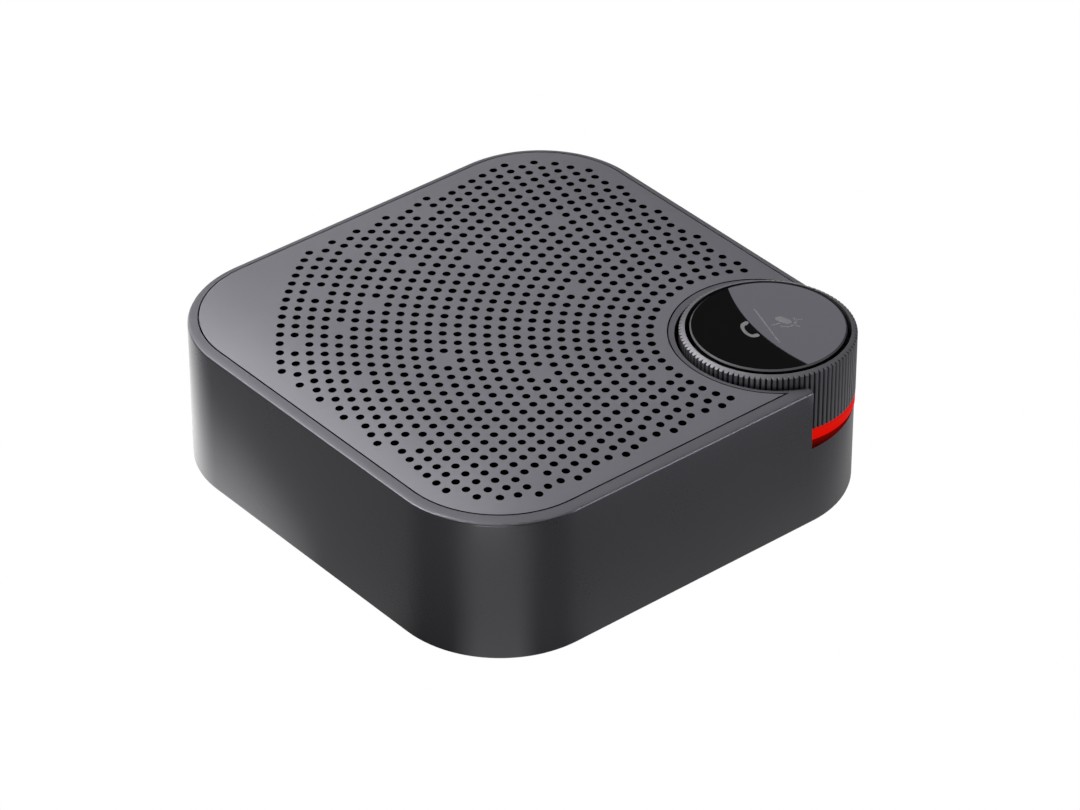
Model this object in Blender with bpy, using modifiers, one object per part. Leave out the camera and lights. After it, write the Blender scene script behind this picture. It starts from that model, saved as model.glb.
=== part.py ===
"""Conference speakerphone: a low square-plan desktop unit with a domed perforated top and a volume
dial let into one corner.

Origin: centre of the body in plan, on the surface that the feet stand on. +Z is up, -Y is the front
and the dial is at the front right corner (+X, -Y). All the numbers below are in millimetres.
"""
import math

import bmesh
import bpy
from mathutils import Matrix, Vector

MM = 0.001
GAP = 0.3                       # air between two pieces that touch on the real object

# ---- driving dimensions ------------------------------------------------------------------------
BODY_W = 110.0                  # side of the square body
CORNER_R = 23.8
CORNER_STEPS = 8
FOOT_H = 1.0                    # the body's underside stands this far above the table
WALL_TOP = FOOT_H + 32.2        # where the outer wall ends and the rim begins
RIM = ((0.7, 0.66), (1.55, 0.44))   # rim steps from the wall to the seam: (inset, rise)
RIM_IN = sum(inset for inset, rise in RIM)
RIM_TOP = WALL_TOP + sum(rise for inset, rise in RIM)
DOME_RISE = 1.05                # the top plate rises this much from the seam ...
DOME_REACH = 19.75              # ... over this distance, and is flat inside it
DOME_STEPS = 4
WALL_T = 2.4
NECK_IN = 3.7                   # the shelf under the plate reaches this far in from the outside
NECK_Z = 29.0
SHELF_Z = 32.4

DIAL = (35.4, -35.4)            # axis of the volume dial
RING_R = 18.05                  # tips of the knurl
RING_BORE = 16.8
GLASS_R = 15.9
GLASS_TOP = FOOT_H + 36.0
RING_TOP_OUT = GLASS_TOP - 0.9
RING_TOP_IN = GLASS_TOP - 0.35
POCKET_R = 18.92
COLLAR_R = 20.1
LEDGE_Z = FOOT_H + 18.6         # floor of the dial's pocket
POCKET_FLOOR_T = 2.0
CUT_X = 30.1                    # the wall is cut away in the corner beyond this
DIVIDER_ANGLE = math.radians(71.1)      # the line between the two halves of the glass

BASE_T = 2.4
BASE_TOP = FOOT_H + BASE_T
FOOT_R = 6.5
FOOT_AT = (33.0, 42.0)
SCREW_AT = 44.5
BOSS_R = 3.2
BOSS_TOP = 16.0

SPEAKER = (-9.0, 9.0)
BOARD_TOP = 7.2
PORT_Z = 9.1                    # height of the rear socket, light and buttons
BUTTONS = {"power": 18.0, "pairing": 29.0}
BUTTON_SIZE = (8.0, 4.0)
MICS = {"rear_left": (-40, 40), "rear_right": (40, 40), "front_left": (-40, -40), "front": (0, -42)}

ROUND_STEPS = 48                # facets of a large turned piece
SMALL_STEPS = 20                # facets of a small one


# ---- scene and helpers -------------------------------------------------------------------------
def clear_scene():
    for obj in list(bpy.data.objects):
        bpy.data.objects.remove(obj, do_unlink=True)


def collection(name):
    made = bpy.data.collections.new(name)
    bpy.context.scene.collection.children.link(made)
    return made


clear_scene()
PARTS = collection("conference_speakerphone")
CUTTERS = collection("cutters")


def material(name, colour, roughness, metallic=0.0, alpha=1.0):
    made = bpy.data.materials.new(name)
    made.use_nodes = True
    shader = made.node_tree.nodes["Principled BSDF"]
    shader.inputs["Base Color"].default_value = (*colour, 1.0)
    shader.inputs["Roughness"].default_value = roughness
    shader.inputs["Metallic"].default_value = metallic
    shader.inputs["Alpha"].default_value = alpha
    return made


GREY_PAINT = ((0.09, 0.09, 0.10), 0.45, 0.5)
GREY_METAL = ((0.19, 0.19, 0.21), 0.4, 0.7)
BLACK_PLASTIC = ((0.02, 0.02, 0.02), 0.5, 0.0)
BLACK_RUBBER = ((0.015, 0.015, 0.015), 0.85, 0.0)
BLACK_GLASS = ((0.01, 0.01, 0.012), 0.05, 0.0)
BOARD_GREEN = ((0.02, 0.13, 0.07), 0.5, 0.0)
BRIGHT_STEEL = ((0.6, 0.6, 0.6), 0.3, 1.0)
DARK_STEEL = ((0.12, 0.12, 0.12), 0.4, 1.0)
COPPER = ((0.6, 0.28, 0.14), 0.35, 1.0)
RED_DIFFUSER = ((0.85, 0.02, 0.01), 0.4, 0.0)
CHIP_BLACK = ((0.03, 0.03, 0.035), 0.6, 0.0)
PAPER_GREY = ((0.16, 0.16, 0.17), 0.9, 0.0)
FOIL_BLUE = ((0.05, 0.12, 0.32), 0.5, 0.0)
SPIDER_TAN = ((0.30, 0.18, 0.07), 0.9, 0.0)
WHITE_PLASTIC = ((0.7, 0.7, 0.68), 0.5, 0.0)


def add_object(name, bm, finish, origin=(0, 0, 0)):
    """A new object from a bmesh in millimetres. finish None makes it a cutter."""
    mesh = bpy.data.meshes.new(name)
    bmesh.ops.translate(bm, verts=bm.verts, vec=-Vector(origin))
    bmesh.ops.scale(bm, verts=bm.verts, vec=(MM, MM, MM))
    bm.to_mesh(mesh)
    bm.free()
    obj = bpy.data.objects.new(name, mesh)
    obj.location = Vector(origin) * MM
    if finish is None:
        CUTTERS.objects.link(obj)
        obj.hide_render = True
        obj.display_type = "WIRE"
        return obj
    PARTS.objects.link(obj)
    mesh.materials.append(material(name, *finish))
    return obj


def add_block(bm, low, high):
    """A plain box between two corners, added to bm."""
    low, high = Vector(low), Vector(high)
    size = high - low
    place = Matrix.Translation((low + high) / 2) @ Matrix.Diagonal((*size, 1.0))
    return bmesh.ops.create_cube(bm, size=1.0, matrix=place)["verts"]


def add_cylinder(bm, centre, radius, z_low, z_high, steps=SMALL_STEPS):
    place = Matrix.Translation((centre[0], centre[1], (z_low + z_high) / 2))
    bmesh.ops.create_cone(bm, cap_ends=True, segments=steps, radius1=radius, radius2=radius,
                          depth=z_high - z_low, matrix=place)


def block(name, low, high, finish, origin=(0, 0, 0), bevel=0.0):
    bm = bmesh.new()
    add_block(bm, low, high)
    if bevel:
        bmesh.ops.bevel(bm, geom=bm.edges[:], offset=bevel, segments=2, affect="EDGES", profile=0.5)
    return add_object(name, bm, finish, origin)


def cylinder(name, centre, radius, z_low, z_high, finish, steps=SMALL_STEPS):
    bm = bmesh.new()
    add_cylinder(bm, centre, radius, z_low, z_high, steps)
    return add_object(name, bm, finish)


def face_up(bm):
    """The topmost face of a convex prism."""
    return max(bm.faces, key=lambda face: face.calc_center_median().z)


def rounded_prism(low, high, radius, tops=(), steps=CORNER_STEPS):
    """A box with rounded vertical edges whose top is then stepped in: tops holds (inset, rise)."""
    bm = bmesh.new()
    add_block(bm, low, high)
    upright = [e for e in bm.edges if abs(e.verts[0].co.z - e.verts[1].co.z) > 1e-6]
    bmesh.ops.bevel(bm, geom=upright, offset=radius, segments=steps, affect="EDGES", profile=0.5)
    for inset, rise in tops:
        bmesh.ops.inset_region(bm, faces=[face_up(bm)], thickness=inset, depth=rise,
                               use_even_offset=True)
    return bm


def square_prism(inset, z_low, z_high, tops=()):
    """The body's outline set in by a distance, between two heights."""
    half = BODY_W / 2 - inset
    return rounded_prism((-half, -half, z_low), (half, half, z_high), CORNER_R - inset, tops)


def cut(target, cutter, operation="DIFFERENCE"):
    modifier = target.modifiers.new(cutter.name, "BOOLEAN")
    modifier.operation = operation
    modifier.object = cutter
    return target


def turned(name, profile, centre, finish, steps=SMALL_STEPS):
    """Turns (radius, z) points about a vertical axis. The outer side runs from top to bottom."""
    bm = bmesh.new()
    points = [bm.verts.new((radius, 0.0, z)) for radius, z in profile]
    for start, end in zip(points, points[1:]):
        bm.edges.new((start, end))
    if profile[0][0] > 0:
        bm.edges.new((points[-1], points[0]))
    obj = add_object(name, bm, finish)
    obj.location = (centre[0] * MM, centre[1] * MM, 0.0)
    screw = obj.modifiers.new("turn", "SCREW")
    screw.steps = screw.render_steps = steps
    screw.use_merge_vertices = True
    screw.merge_threshold = 0.00001
    screw.use_smooth_shade = True
    return obj


def disc_profile(radius, z_low, z_high, chamfer=0.0):
    """Profile of a solid disc whose top edge may be chamfered."""
    edge = [(radius - chamfer, z_high), (radius, z_high - chamfer)] if chamfer else [(radius, z_high)]
    return [(0.0, z_high), *edge, (radius, z_low), (0.0, z_low)]


def ring_profile(inner, outer, z_low, z_high):
    return [(outer, z_high), (outer, z_low), (inner, z_low), (inner, z_high)]


def lead(name, points, radius, colour):
    """A round wire through the points."""
    curve = bpy.data.curves.new(name, "CURVE")
    curve.dimensions = "3D"
    curve.bevel_depth = radius * MM
    curve.bevel_resolution = 1
    curve.use_fill_caps = True
    spline = curve.splines.new("POLY")
    spline.points.add(len(points) - 1)
    for spot, (x, y, z) in zip(spline.points, points):
        spot.co = (x * MM, y * MM, z * MM, 1.0)
    curve.materials.append(material(name, colour, 0.6))
    obj = bpy.data.objects.new(name, curve)
    PARTS.objects.link(obj)
    return obj


# ---- shells ------------------------------------------------------------------------------------
def dome_steps():
    """(inset, rise) steps of the plate from the seam inward, along a parabola."""
    reach = DOME_REACH / DOME_STEPS
    height = [DOME_RISE * (1 - (1 - i / DOME_STEPS) ** 2) for i in range(DOME_STEPS + 1)]
    return [(reach, high - low) for low, high in zip(height, height[1:])]


def slot(name, x, size, y_low, y_high):
    """A cutter with round ends that runs through the rear wall."""
    width, tall = size
    bm = rounded_prism((-width / 2, -tall / 2, 0), (width / 2, tall / 2, y_high - y_low),
                       tall / 2 - 0.01, steps=4)
    bmesh.ops.rotate(bm, verts=bm.verts, matrix=Matrix.Rotation(-math.pi / 2, 3, "X"))
    bmesh.ops.translate(bm, verts=bm.verts, vec=(x, y_low, PORT_Z))
    return add_object(name, bm, None)


def corners(x, y):
    return {"front_left": (-x, -y), "front_right": (x, -y), "rear_left": (-x, y), "rear_right": (x, y)}


def cylinders_at(name, spots, radius, z_low, z_high):
    """One cutter holding a cylinder at each spot."""
    bm = bmesh.new()
    for spot in spots:
        add_cylinder(bm, spot, radius, z_low, z_high)
    return add_object(name, bm, None)


def make_housing():
    high = GLASS_TOP + 5
    shell = add_object("housing_shell", square_prism(0, FOOT_H, WALL_TOP, RIM), GREY_PAINT)
    cut(shell, add_object("plate_recess", square_prism(RIM_IN - 0.15, SHELF_Z, high), None))
    cut(shell, add_object("neck_space", square_prism(NECK_IN, NECK_Z - 1, SHELF_Z + 1), None))
    cut(shell, add_object("inner_space", square_prism(WALL_T, FOOT_H - 1, NECK_Z), None))

    # The dial's collar follows the dome, so it is clipped by a copy of the body's outside.
    inside = 0.5
    clip_tops = [(RIM[0][0] - inside, RIM[0][1] * (1 - inside / RIM[0][0])), RIM[1], *dome_steps()]
    clip_z = WALL_TOP + RIM[0][1] * inside / RIM[0][0] - 0.03
    clip = add_object("collar_clip", square_prism(inside, LEDGE_Z - 4, clip_z, clip_tops), None)
    collar = cylinder("collar", DIAL, COLLAR_R, LEDGE_Z - POCKET_FLOOR_T, high, None, ROUND_STEPS)
    cut(collar, clip, "INTERSECT")
    cut(shell, collar, "UNION")
    bosses = cylinders_at("screw_bosses", corners(SCREW_AT, SCREW_AT).values(), BOSS_R,
                          BASE_TOP + GAP, BOSS_TOP)
    cut(shell, bosses, "UNION")

    cut(shell, cylinder("dial_pocket", DIAL, POCKET_R, LEDGE_Z, high, None, ROUND_STEPS))
    edge = BODY_W / 2 + 5
    cut(shell, block("corner_cut", (CUT_X, -edge, LEDGE_Z), (edge, -CUT_X, high), None))
    cut(shell, cylinder("dial_wire_hole", DIAL, 4.2, LEDGE_Z - 5, LEDGE_Z + 1, None))
    cut(shell, cylinders_at("screw_holes", corners(SCREW_AT, SCREW_AT).values(), 1.6,
                            BASE_TOP - 1, BOSS_TOP - 3.5))
    low_y = BODY_W / 2 - WALL_T - 1
    cut(shell, slot("socket_slot", 0.0, (10.0, 4.2), low_y, edge))
    for name, x in BUTTONS.items():
        size = (BUTTON_SIZE[0] + 2 * GAP, BUTTON_SIZE[1] + 2 * GAP)
        cut(shell, slot(name + "_slot", x, size, low_y, edge))
    cut(shell, slot("light_slot", 9.5, (2.4, 2.4), low_y, edge))


def make_plate():
    bm = square_prism(RIM_IN + 0.15, SHELF_Z + GAP, RIM_TOP, dome_steps())
    plate = add_object("grille_plate", bm, GREY_METAL)
    cut(plate, cylinder("plate_dial_cut", DIAL, COLLAR_R + GAP, 25, 45, None, ROUND_STEPS))
    cloth = add_object("grille_cloth", square_prism(NECK_IN + 0.5, 31.9, SHELF_Z), PAPER_GREY)
    cut(cloth, cylinder("cloth_dial_cut", DIAL, COLLAR_R + 0.5, 25, 45, None, ROUND_STEPS))


def make_base():
    base = add_object("base_cover", square_prism(WALL_T + 0.4, FOOT_H, BASE_TOP), GREY_PAINT)
    heads = corners(SCREW_AT, SCREW_AT).values()
    cut(base, cylinders_at("head_recesses", heads, 3.0, FOOT_H - 1, FOOT_H + 1.5))
    cut(base, cylinders_at("shank_holes", heads, 1.6, FOOT_H, BASE_TOP + 1))
    cut(base, cylinders_at("foot_recesses", corners(*FOOT_AT).values(), FOOT_R + 0.4,
                           FOOT_H - 1, FOOT_H + 1.0))
    foot = [(0.0, 1.7), (FOOT_R, 1.7), (FOOT_R, 0.5), (FOOT_R - 0.5, 0.0), (0.0, 0.0)]
    for name, spot in corners(*FOOT_AT).items():
        turned("foot_" + name, foot, spot, BLACK_RUBBER)
    top = FOOT_H + 1.2
    screw = [(0.0, 12.0), (1.2, 11.4), (1.2, top), (2.6, top), (2.6, FOOT_H + 0.6),
             (2.2, FOOT_H + 0.3), (0.9, FOOT_H + 0.3), (0.7, FOOT_H + 0.9), (0.0, FOOT_H + 0.9)]
    for name, spot in corners(SCREW_AT, SCREW_AT).items():
        turned("base_screw_" + name, screw, spot, DARK_STEEL, 12)


# ---- loudspeaker -------------------------------------------------------------------------------
def half_roll(middle, z, radius, wall, steps):
    """Profile of a half round rubber roll, outer side first."""
    turns = [math.pi * i / steps for i in range(steps + 1)]
    outer = [(middle + radius * math.cos(t), z + radius * math.sin(t)) for t in turns]
    inner = [(middle + (radius - wall) * math.cos(t), z + (radius - wall) * math.sin(t)) for t in turns]
    return list(reversed(outer)) + inner


def make_speaker():
    basket = [(28, 30.2), (28, 29.0), (26.2, 29.0), (17.3, 16.3), (9.2, 16.3), (9.2, 17.3),
              (16.6, 17.3), (24.9, 29.2), (24.9, 30.2)]
    turned("speaker_basket", basket, SPEAKER, DARK_STEEL, 32)
    magnet = [(0, 16.2), (6.9, 16.2), (6.9, 11.8), (8.8, 11.8), (8.8, 16.0), (17, 16.0), (17, 10.3),
              (0, 10.3)]
    turned("speaker_magnet", magnet, SPEAKER, BRIGHT_STEEL, 24)
    cone = [(0, 25.6), (4.5, 24.9), (8.4, 23.3), (21.3, 29.0), (21.3, 28.2), (8.8, 22.4), (7.2, 22.4),
            (4.3, 23.9), (0, 24.7)]
    turned("speaker_cone", cone, SPEAKER, PAPER_GREY, 28)
    turned("voice_coil", ring_profile(7.4, 8.2, 13.2, 22.1), SPEAKER, COPPER, 24)
    turned("speaker_surround", half_roll(23.1, 28.9, 1.4, 0.5, 4), SPEAKER, BLACK_RUBBER, 32)
    turned("speaker_spider", ring_profile(8.6, 15.8, 18.6, 19.2), SPEAKER, SPIDER_TAN, 24)
    turned("speaker_gasket", ring_profile(25.2, 27.8, 30.5, 31.6), SPEAKER, BLACK_RUBBER, 32)
    frame = add_object("inner_frame", square_prism(WALL_T + 0.6, 27.2, 28.7), BLACK_PLASTIC)
    cut(frame, cylinder("frame_speaker_hole", SPEAKER, 26.6, 25, 31, None, 40))
    cut(frame, cylinder("frame_dial_cut", DIAL, COLLAR_R + 0.5, 25, 45, None, ROUND_STEPS))


def make_microphones():
    boot = [(0, 30.0), (2.3, 30.0), (2.3, 31.6), (3.2, 31.6), (3.2, 29.0), (0, 29.0)]
    for name, spot in MICS.items():
        turned("mic_boot_" + name, boot, spot, BLACK_RUBBER, 16)
        turned("mic_" + name, disc_profile(2.0, 30.3, 31.4, 0.2), spot, BRIGHT_STEEL, 16)


# ---- electronics -------------------------------------------------------------------------------
def make_board():
    bm = bmesh.new()
    add_block(bm, (-47, -12, BOARD_TOP - 1.6), (47, 47, BOARD_TOP))
    rear = [e for e in bm.edges if abs(e.verts[0].co.z - e.verts[1].co.z) > 1e-6 and e.verts[0].co.y > 0]
    bmesh.ops.bevel(bm, geom=rear, offset=20, segments=6, affect="EDGES", profile=0.5)
    add_object("main_board", bm, BOARD_GREEN)
    low = BOARD_TOP + GAP
    block("radio_shield", (20, 0, low), (38, 14, low + 2.2), BRIGHT_STEEL, bevel=0.3)
    block("processor_chip", (22, 20, low), (31, 29, low + 1.2), CHIP_BLACK, bevel=0.1)
    block("amplifier_chip", (-40, 18, low), (-33, 25, low + 1.1), CHIP_BLACK, bevel=0.1)
    cylinder("power_inductor", (-36, -2), 3.2, low, low + 3.2, CHIP_BLACK, 16)
    block("battery_pack", (-38, -46, BASE_TOP + GAP), (12, -18, 12.2), FOIL_BLUE, bevel=1.2)


def make_socket():
    """Charging socket on the board's rear edge: a shell open to the rear, and its tongue."""
    half, tall, mouth, back = 4.47, 3.2, 53.8, 46.0

    def oval(name, inset, y_low, y_high, finish):
        bm = rounded_prism((-half + inset, -tall / 2 + inset, 0),
                           (half - inset, tall / 2 - inset, y_high - y_low),
                           tall / 2 - inset - 0.01, steps=4)
        bmesh.ops.rotate(bm, verts=bm.verts, matrix=Matrix.Rotation(-math.pi / 2, 3, "X"))
        bmesh.ops.translate(bm, verts=bm.verts, vec=(0, y_low, BOARD_TOP + GAP + tall / 2))
        return add_object(name, bm, finish)

    shell = oval("charging_socket", 0.0, back, mouth, BRIGHT_STEEL)
    cut(shell, oval("socket_mouth", 0.32, back + 1.2, mouth + 1, None))
    middle = BOARD_TOP + GAP + tall / 2
    block("socket_tongue", (-3.35, back + 1.5, middle - 0.35), (3.35, mouth - 0.6, middle + 0.35),
          BLACK_PLASTIC)


def make_rear_controls():
    wall_in = BODY_W / 2 - WALL_T
    for name, x in BUTTONS.items():
        bm = rounded_prism((-BUTTON_SIZE[0] / 2, -BUTTON_SIZE[1] / 2, 0),
                           (BUTTON_SIZE[0] / 2, BUTTON_SIZE[1] / 2, WALL_T + 1.0),
                           BUTTON_SIZE[1] / 2 - 0.01, steps=4)
        bmesh.ops.rotate(bm, verts=bm.verts, matrix=Matrix.Rotation(-math.pi / 2, 3, "X"))
        bmesh.ops.translate(bm, verts=bm.verts, vec=(x, wall_in - 1.0, PORT_Z))
        origin = (x, wall_in, PORT_Z)
        button = add_object(name + "_button", bm, BLACK_PLASTIC, origin)
        flange = block(name + "_flange", (x - 5, wall_in - 1.4, PORT_Z - 1.7),
                       (x + 5, wall_in - 0.4, PORT_Z + 2.9), None)
        stem = block(name + "_stem", (x - 0.8, wall_in - 3.0, PORT_Z - 0.8),
                     (x + 0.8, wall_in - 0.9, PORT_Z + 0.8), None)
        cut(button, flange, "UNION")
        cut(button, stem, "UNION")
        block(name + "_switch", (x - 2.1, wall_in - 7.6, BOARD_TOP + GAP),
              (x + 2.1, wall_in - 3.9, BOARD_TOP + GAP + 3.2), CHIP_BLACK, bevel=0.2)
    bm = rounded_prism((-0.9, -0.9, 0), (0.9, 0.9, 4.5), 0.89, steps=3)
    bmesh.ops.rotate(bm, verts=bm.verts, matrix=Matrix.Rotation(-math.pi / 2, 3, "X"))
    bmesh.ops.translate(bm, verts=bm.verts, vec=(9.5, BODY_W / 2 - 4.6, PORT_Z))
    add_object("status_light_pipe", bm, WHITE_PLASTIC)


def make_leads():
    x, y = DIAL
    lead("dial_lead", [(x, y, 28), (x, y, 14), (33, -31, 10), (27, -20, 8.8), (25, -8, 8.4)], 0.8,
         (0.02, 0.02, 0.02))
    lead("battery_lead", [(13.2, -30, 8.5), (16, -27, 8.8), (17, -18, 8.8), (15, -8, 8.4)], 0.7,
         (0.5, 0.03, 0.03))
    lead("speaker_lead", [(-33.6, 9, 24), (-36, 9, 20), (-37, 9, 13), (-36, 7, 8.3)], 0.6,
         (0.03, 0.03, 0.03))


# ---- dial --------------------------------------------------------------------------------------
def make_dial_mechanism():
    """The fixed pieces inside the pocket."""
    low = LEDGE_Z + GAP
    turned("light_ring", ring_profile(15.0, 18.0, low, low + 2.3), DIAL, RED_DIFFUSER, ROUND_STEPS)
    turned("led_board", ring_profile(8.2, 14.6, low, low + 1.0), DIAL, BOARD_GREEN, 32)
    turned("dial_post", ring_profile(4.6, 7.6, low, 29.6), DIAL, WHITE_PLASTIC, 32)
    turned("bearing_sleeve", ring_profile(7.9, 9.0, 22.6, 29.2), DIAL, WHITE_PLASTIC, 32)
    turned("dial_platform", ring_profile(3.0, 14.9, 29.9, 31.1), DIAL, BLACK_PLASTIC, 32)
    turned("dial_board", ring_profile(3.0, 14.5, 31.4, 32.4), DIAL, BOARD_GREEN, 32)
    across = Vector((math.sin(DIVIDER_ANGLE), -math.cos(DIVIDER_ANGLE)))
    for name, side in (("call_switch", -1), ("mute_switch", 1)):
        spot = Vector(DIAL) + across * side * 9.5
        block(name, (spot.x - 2.5, spot.y - 2.5, 32.7), (spot.x + 2.5, spot.y + 2.5, 34.1), CHIP_BLACK,
              bevel=0.2)


def make_volume_ring():
    ring = [(RING_BORE, RING_TOP_IN), (RING_R, RING_TOP_OUT), (RING_R, 22.5), (16.4, 22.5),
            (16.4, 24.5), (10.6, 24.5), (10.6, 22.8), (9.3, 22.8), (9.3, 29.3), (10.6, 29.3),
            (10.6, 26.0), (RING_BORE, 26.0)]
    turned("volume_ring", ring, DIAL, GREY_METAL, 56)
    turned("encoder_magnet", ring_profile(10.9, 13.9, 22.7, 24.2), DIAL, CHIP_BLACK, 32)


def make_cap():
    """The glass and its carrier rock on a rib that runs along the line between the two icons."""
    axis_z = 32.75
    bm = bmesh.new()
    add_cylinder(bm, DIAL, 15.3, 34.7, 35.6, ROUND_STEPS)
    origin = (*DIAL, axis_z)
    carrier = add_object("cap_carrier", bm, BLACK_PLASTIC, origin)
    bm = bmesh.new()
    add_block(bm, (-12, -1.0, axis_z), (12, 1.0, 35.0))
    bmesh.ops.rotate(bm, verts=bm.verts, matrix=Matrix.Rotation(DIVIDER_ANGLE, 3, "Z"))
    bmesh.ops.translate(bm, verts=bm.verts, vec=(*DIAL, 0))
    cut(carrier, add_object("rocking_rib", bm, None), "UNION")
    turned("touch_glass", disc_profile(GLASS_R, 35.9, GLASS_TOP, 0.3), DIAL, BLACK_GLASS, ROUND_STEPS)


make_housing()
make_plate()
make_base()
make_speaker()
make_microphones()
make_board()
make_socket()
make_rear_controls()
make_leads()
make_dial_mechanism()
make_volume_ring()
make_cap()
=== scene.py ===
# %% [markdown]
# # A conference speakerphone
# The real thing is a low square puck: a painted housing with a domed, perforated metal plate on top and a
# knurled volume dial let into one corner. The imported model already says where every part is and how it
# moves. This lesson loads it as a fixed frame and then gives it the surfaces, the fine shapes and the
# light that the plain parts lack. Shapes are drawn in millimetres, which read well, and scaled to metres
# at the last moment.

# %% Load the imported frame
import math

import bmesh
import bpy
from mathutils import Matrix, Vector
from mathutils.geometry import delaunay_2d_cdt


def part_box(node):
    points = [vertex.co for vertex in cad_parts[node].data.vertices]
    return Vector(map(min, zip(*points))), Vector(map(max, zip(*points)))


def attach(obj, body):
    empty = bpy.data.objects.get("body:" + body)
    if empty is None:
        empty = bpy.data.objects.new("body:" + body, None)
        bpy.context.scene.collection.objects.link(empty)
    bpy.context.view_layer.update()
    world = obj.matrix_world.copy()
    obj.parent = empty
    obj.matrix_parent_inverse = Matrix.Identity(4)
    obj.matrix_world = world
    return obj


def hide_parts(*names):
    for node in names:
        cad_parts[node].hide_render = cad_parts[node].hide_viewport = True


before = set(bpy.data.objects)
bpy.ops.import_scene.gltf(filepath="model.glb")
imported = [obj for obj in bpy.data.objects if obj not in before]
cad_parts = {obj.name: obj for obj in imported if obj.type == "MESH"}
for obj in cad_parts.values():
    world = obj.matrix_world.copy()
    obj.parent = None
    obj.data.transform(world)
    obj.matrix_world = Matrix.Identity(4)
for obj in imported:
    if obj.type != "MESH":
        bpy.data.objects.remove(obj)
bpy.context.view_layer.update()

# %% [markdown]
# ## Driving dimensions
# What the frame can say is read from it: the body's half width, the dial's axis, the heights. Only what a
# box can't tell, such as a corner radius or the steps of the rim, is written here as a number.

# %% Dimensions in millimetres
MM = 0.001


def box_mm(node):
    low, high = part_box(node)
    return low / MM, high / MM


shell_low, shell_high = box_mm("housing_shell")
ring_low, ring_high = box_mm("volume_ring")
glass_low, glass_high = box_mm("touch_glass")
light_low, light_high = box_mm("light_ring")
plate_high = box_mm("grille_plate")[1]
base_low, base_high = box_mm("base_cover")

HALF = shell_high.x
UNDERSIDE = shell_low.z
CORNER_R = 23.8
DIAL = (ring_low + ring_high) / 2
RING_R = ring_high.x - DIAL.x
GLASS_R = glass_high.x - DIAL.x
LIGHT_R = light_high.x - DIAL.x
COLLAR_R = 20.1
POCKET_R = 18.92
LEDGE_Z = light_low.z - 0.3
WALL_TOP = UNDERSIDE + 32.2
RIM_SLOPES = ((0.0, 0.0), (0.7, 0.66), (2.25, 1.10))
RIM_IN = RIM_SLOPES[-1][0]
DOME_REACH = 19.75
DOME_TOP = plate_high.z
SEAM_Z = WALL_TOP + RIM_SLOPES[-1][1]
SHELF_Z = 32.4
CUT_AT = 30.1
PORT_Z = 9.1
print("half width", round(HALF, 2), "dial axis", [round(c, 2) for c in DIAL[:2]])

# %% [markdown]
# ## The shape of the top
# The plate, the rim and the dial's collar all share one surface, so its height is one function of the
# place in plan. `inset_at` is the distance inside the rounded square, the classic signed distance of a
# rounded box. `top_height` reads the rim's slopes near the edge and the shallow dome further in. A tiny
# parabola rounds the wall's upper edge, which is what catches a line of light on the real object.

# %% Height of the top surface
EDGE_ROUND = 0.3
EDGE_FALL = 0.7 * EDGE_ROUND
SLOPE_BLEND = 0.25
DOME_POWER = 1.92
COLLAR_DROP = 0.42
COLLAR_POWER = 1.3
COLLAR_EDGE = COLLAR_R + 0.15


def reach_at(x, y):
    """Distance in plan from the dial's axis."""
    return math.hypot(x - DIAL.x, y - DIAL.y)


def inset_at(x, y, corner=CORNER_R):
    """How far a place in plan lies inside the body's outline."""
    centre = HALF - corner
    dx, dy = abs(x) - centre, abs(y) - centre
    outside = math.hypot(max(dx, 0.0), max(dy, 0.0)) + min(max(dx, dy), 0.0)
    return corner - outside


def soft_slope(inset, start, end):
    """Height of the rim's straight slope between two of its corners, continued on both sides."""
    (x0, z0), (x1, z1) = start, end
    return z0 + (inset - x0) * (z1 - z0) / (x1 - x0)


def dome_height(inset):
    share = min(max((inset - RIM_IN) / DOME_REACH, 0.0), 1.0)
    return SEAM_Z + (DOME_TOP - SEAM_Z) * (1 - (1 - share) ** DOME_POWER)


def smooth_least(a, b, width):
    """The smaller of two values, with the corner between them rounded."""
    share = max(width - abs(a - b), 0.0) / width
    return min(a, b) - share * share * width / 4


def top_height(x, y):
    inset = inset_at(x, y)
    if inset >= RIM_IN:
        height = dome_height(inset)
    else:
        outer = soft_slope(inset, *RIM_SLOPES[:2])
        inner = soft_slope(inset, *RIM_SLOPES[1:])
        height = WALL_TOP + smooth_least(outer, inner, SLOPE_BLEND)
        if inset < EDGE_ROUND:
            height -= (1 - inset / EDGE_ROUND) ** 2 * EDGE_FALL
    fall = min(max((COLLAR_EDGE - reach_at(x, y)) / (COLLAR_R - POCKET_R), 0.0), 1.0)
    return height - COLLAR_DROP * fall ** COLLAR_POWER


RIM_SHADE = 0.12


def top_normal(x, y, step=0.02):
    """Upward normal of the top surface, from its slope in x and in y.

    Past the rounded edge the rim is shaded flatter than it is cut, so that it reads as one with the plate.
    """
    slope_x = (top_height(x + step, y) - top_height(x - step, y)) / (2 * step)
    slope_y = (top_height(x, y + step) - top_height(x, y - step)) / (2 * step)
    inset = inset_at(x, y)
    on_collar = reach_at(x, y) < COLLAR_R + 0.2
    if inset > EDGE_ROUND and (inset < RIM_IN or on_collar):
        slope_x, slope_y = slope_x * RIM_SHADE, slope_y * RIM_SHADE
    return Vector((-slope_x, -slope_y, 1.0)).normalized()


print("top surface runs from", round(top_height(0, -HALF), 2), "at the wall to", round(top_height(0, 0), 2))

# %% [markdown]
# ## Small modelling tools
# Nearly everything here is either lofted, a row of outlines joined by faces, or turned, a profile swept
# round an axis. Both give clean rows of quads. Pieces that need holes are combined with Boolean modifiers
# while they still hold only a few thousand faces.

# %% Outlines, lofts and turned shapes
def join_rows(bm, row, after):
    """Fills the band between two closed rows of vertices with quads."""
    for i in range(len(row)):
        j = (i + 1) % len(row)
        bm.faces.new((row[i], row[j], after[j], after[i]))


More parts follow.
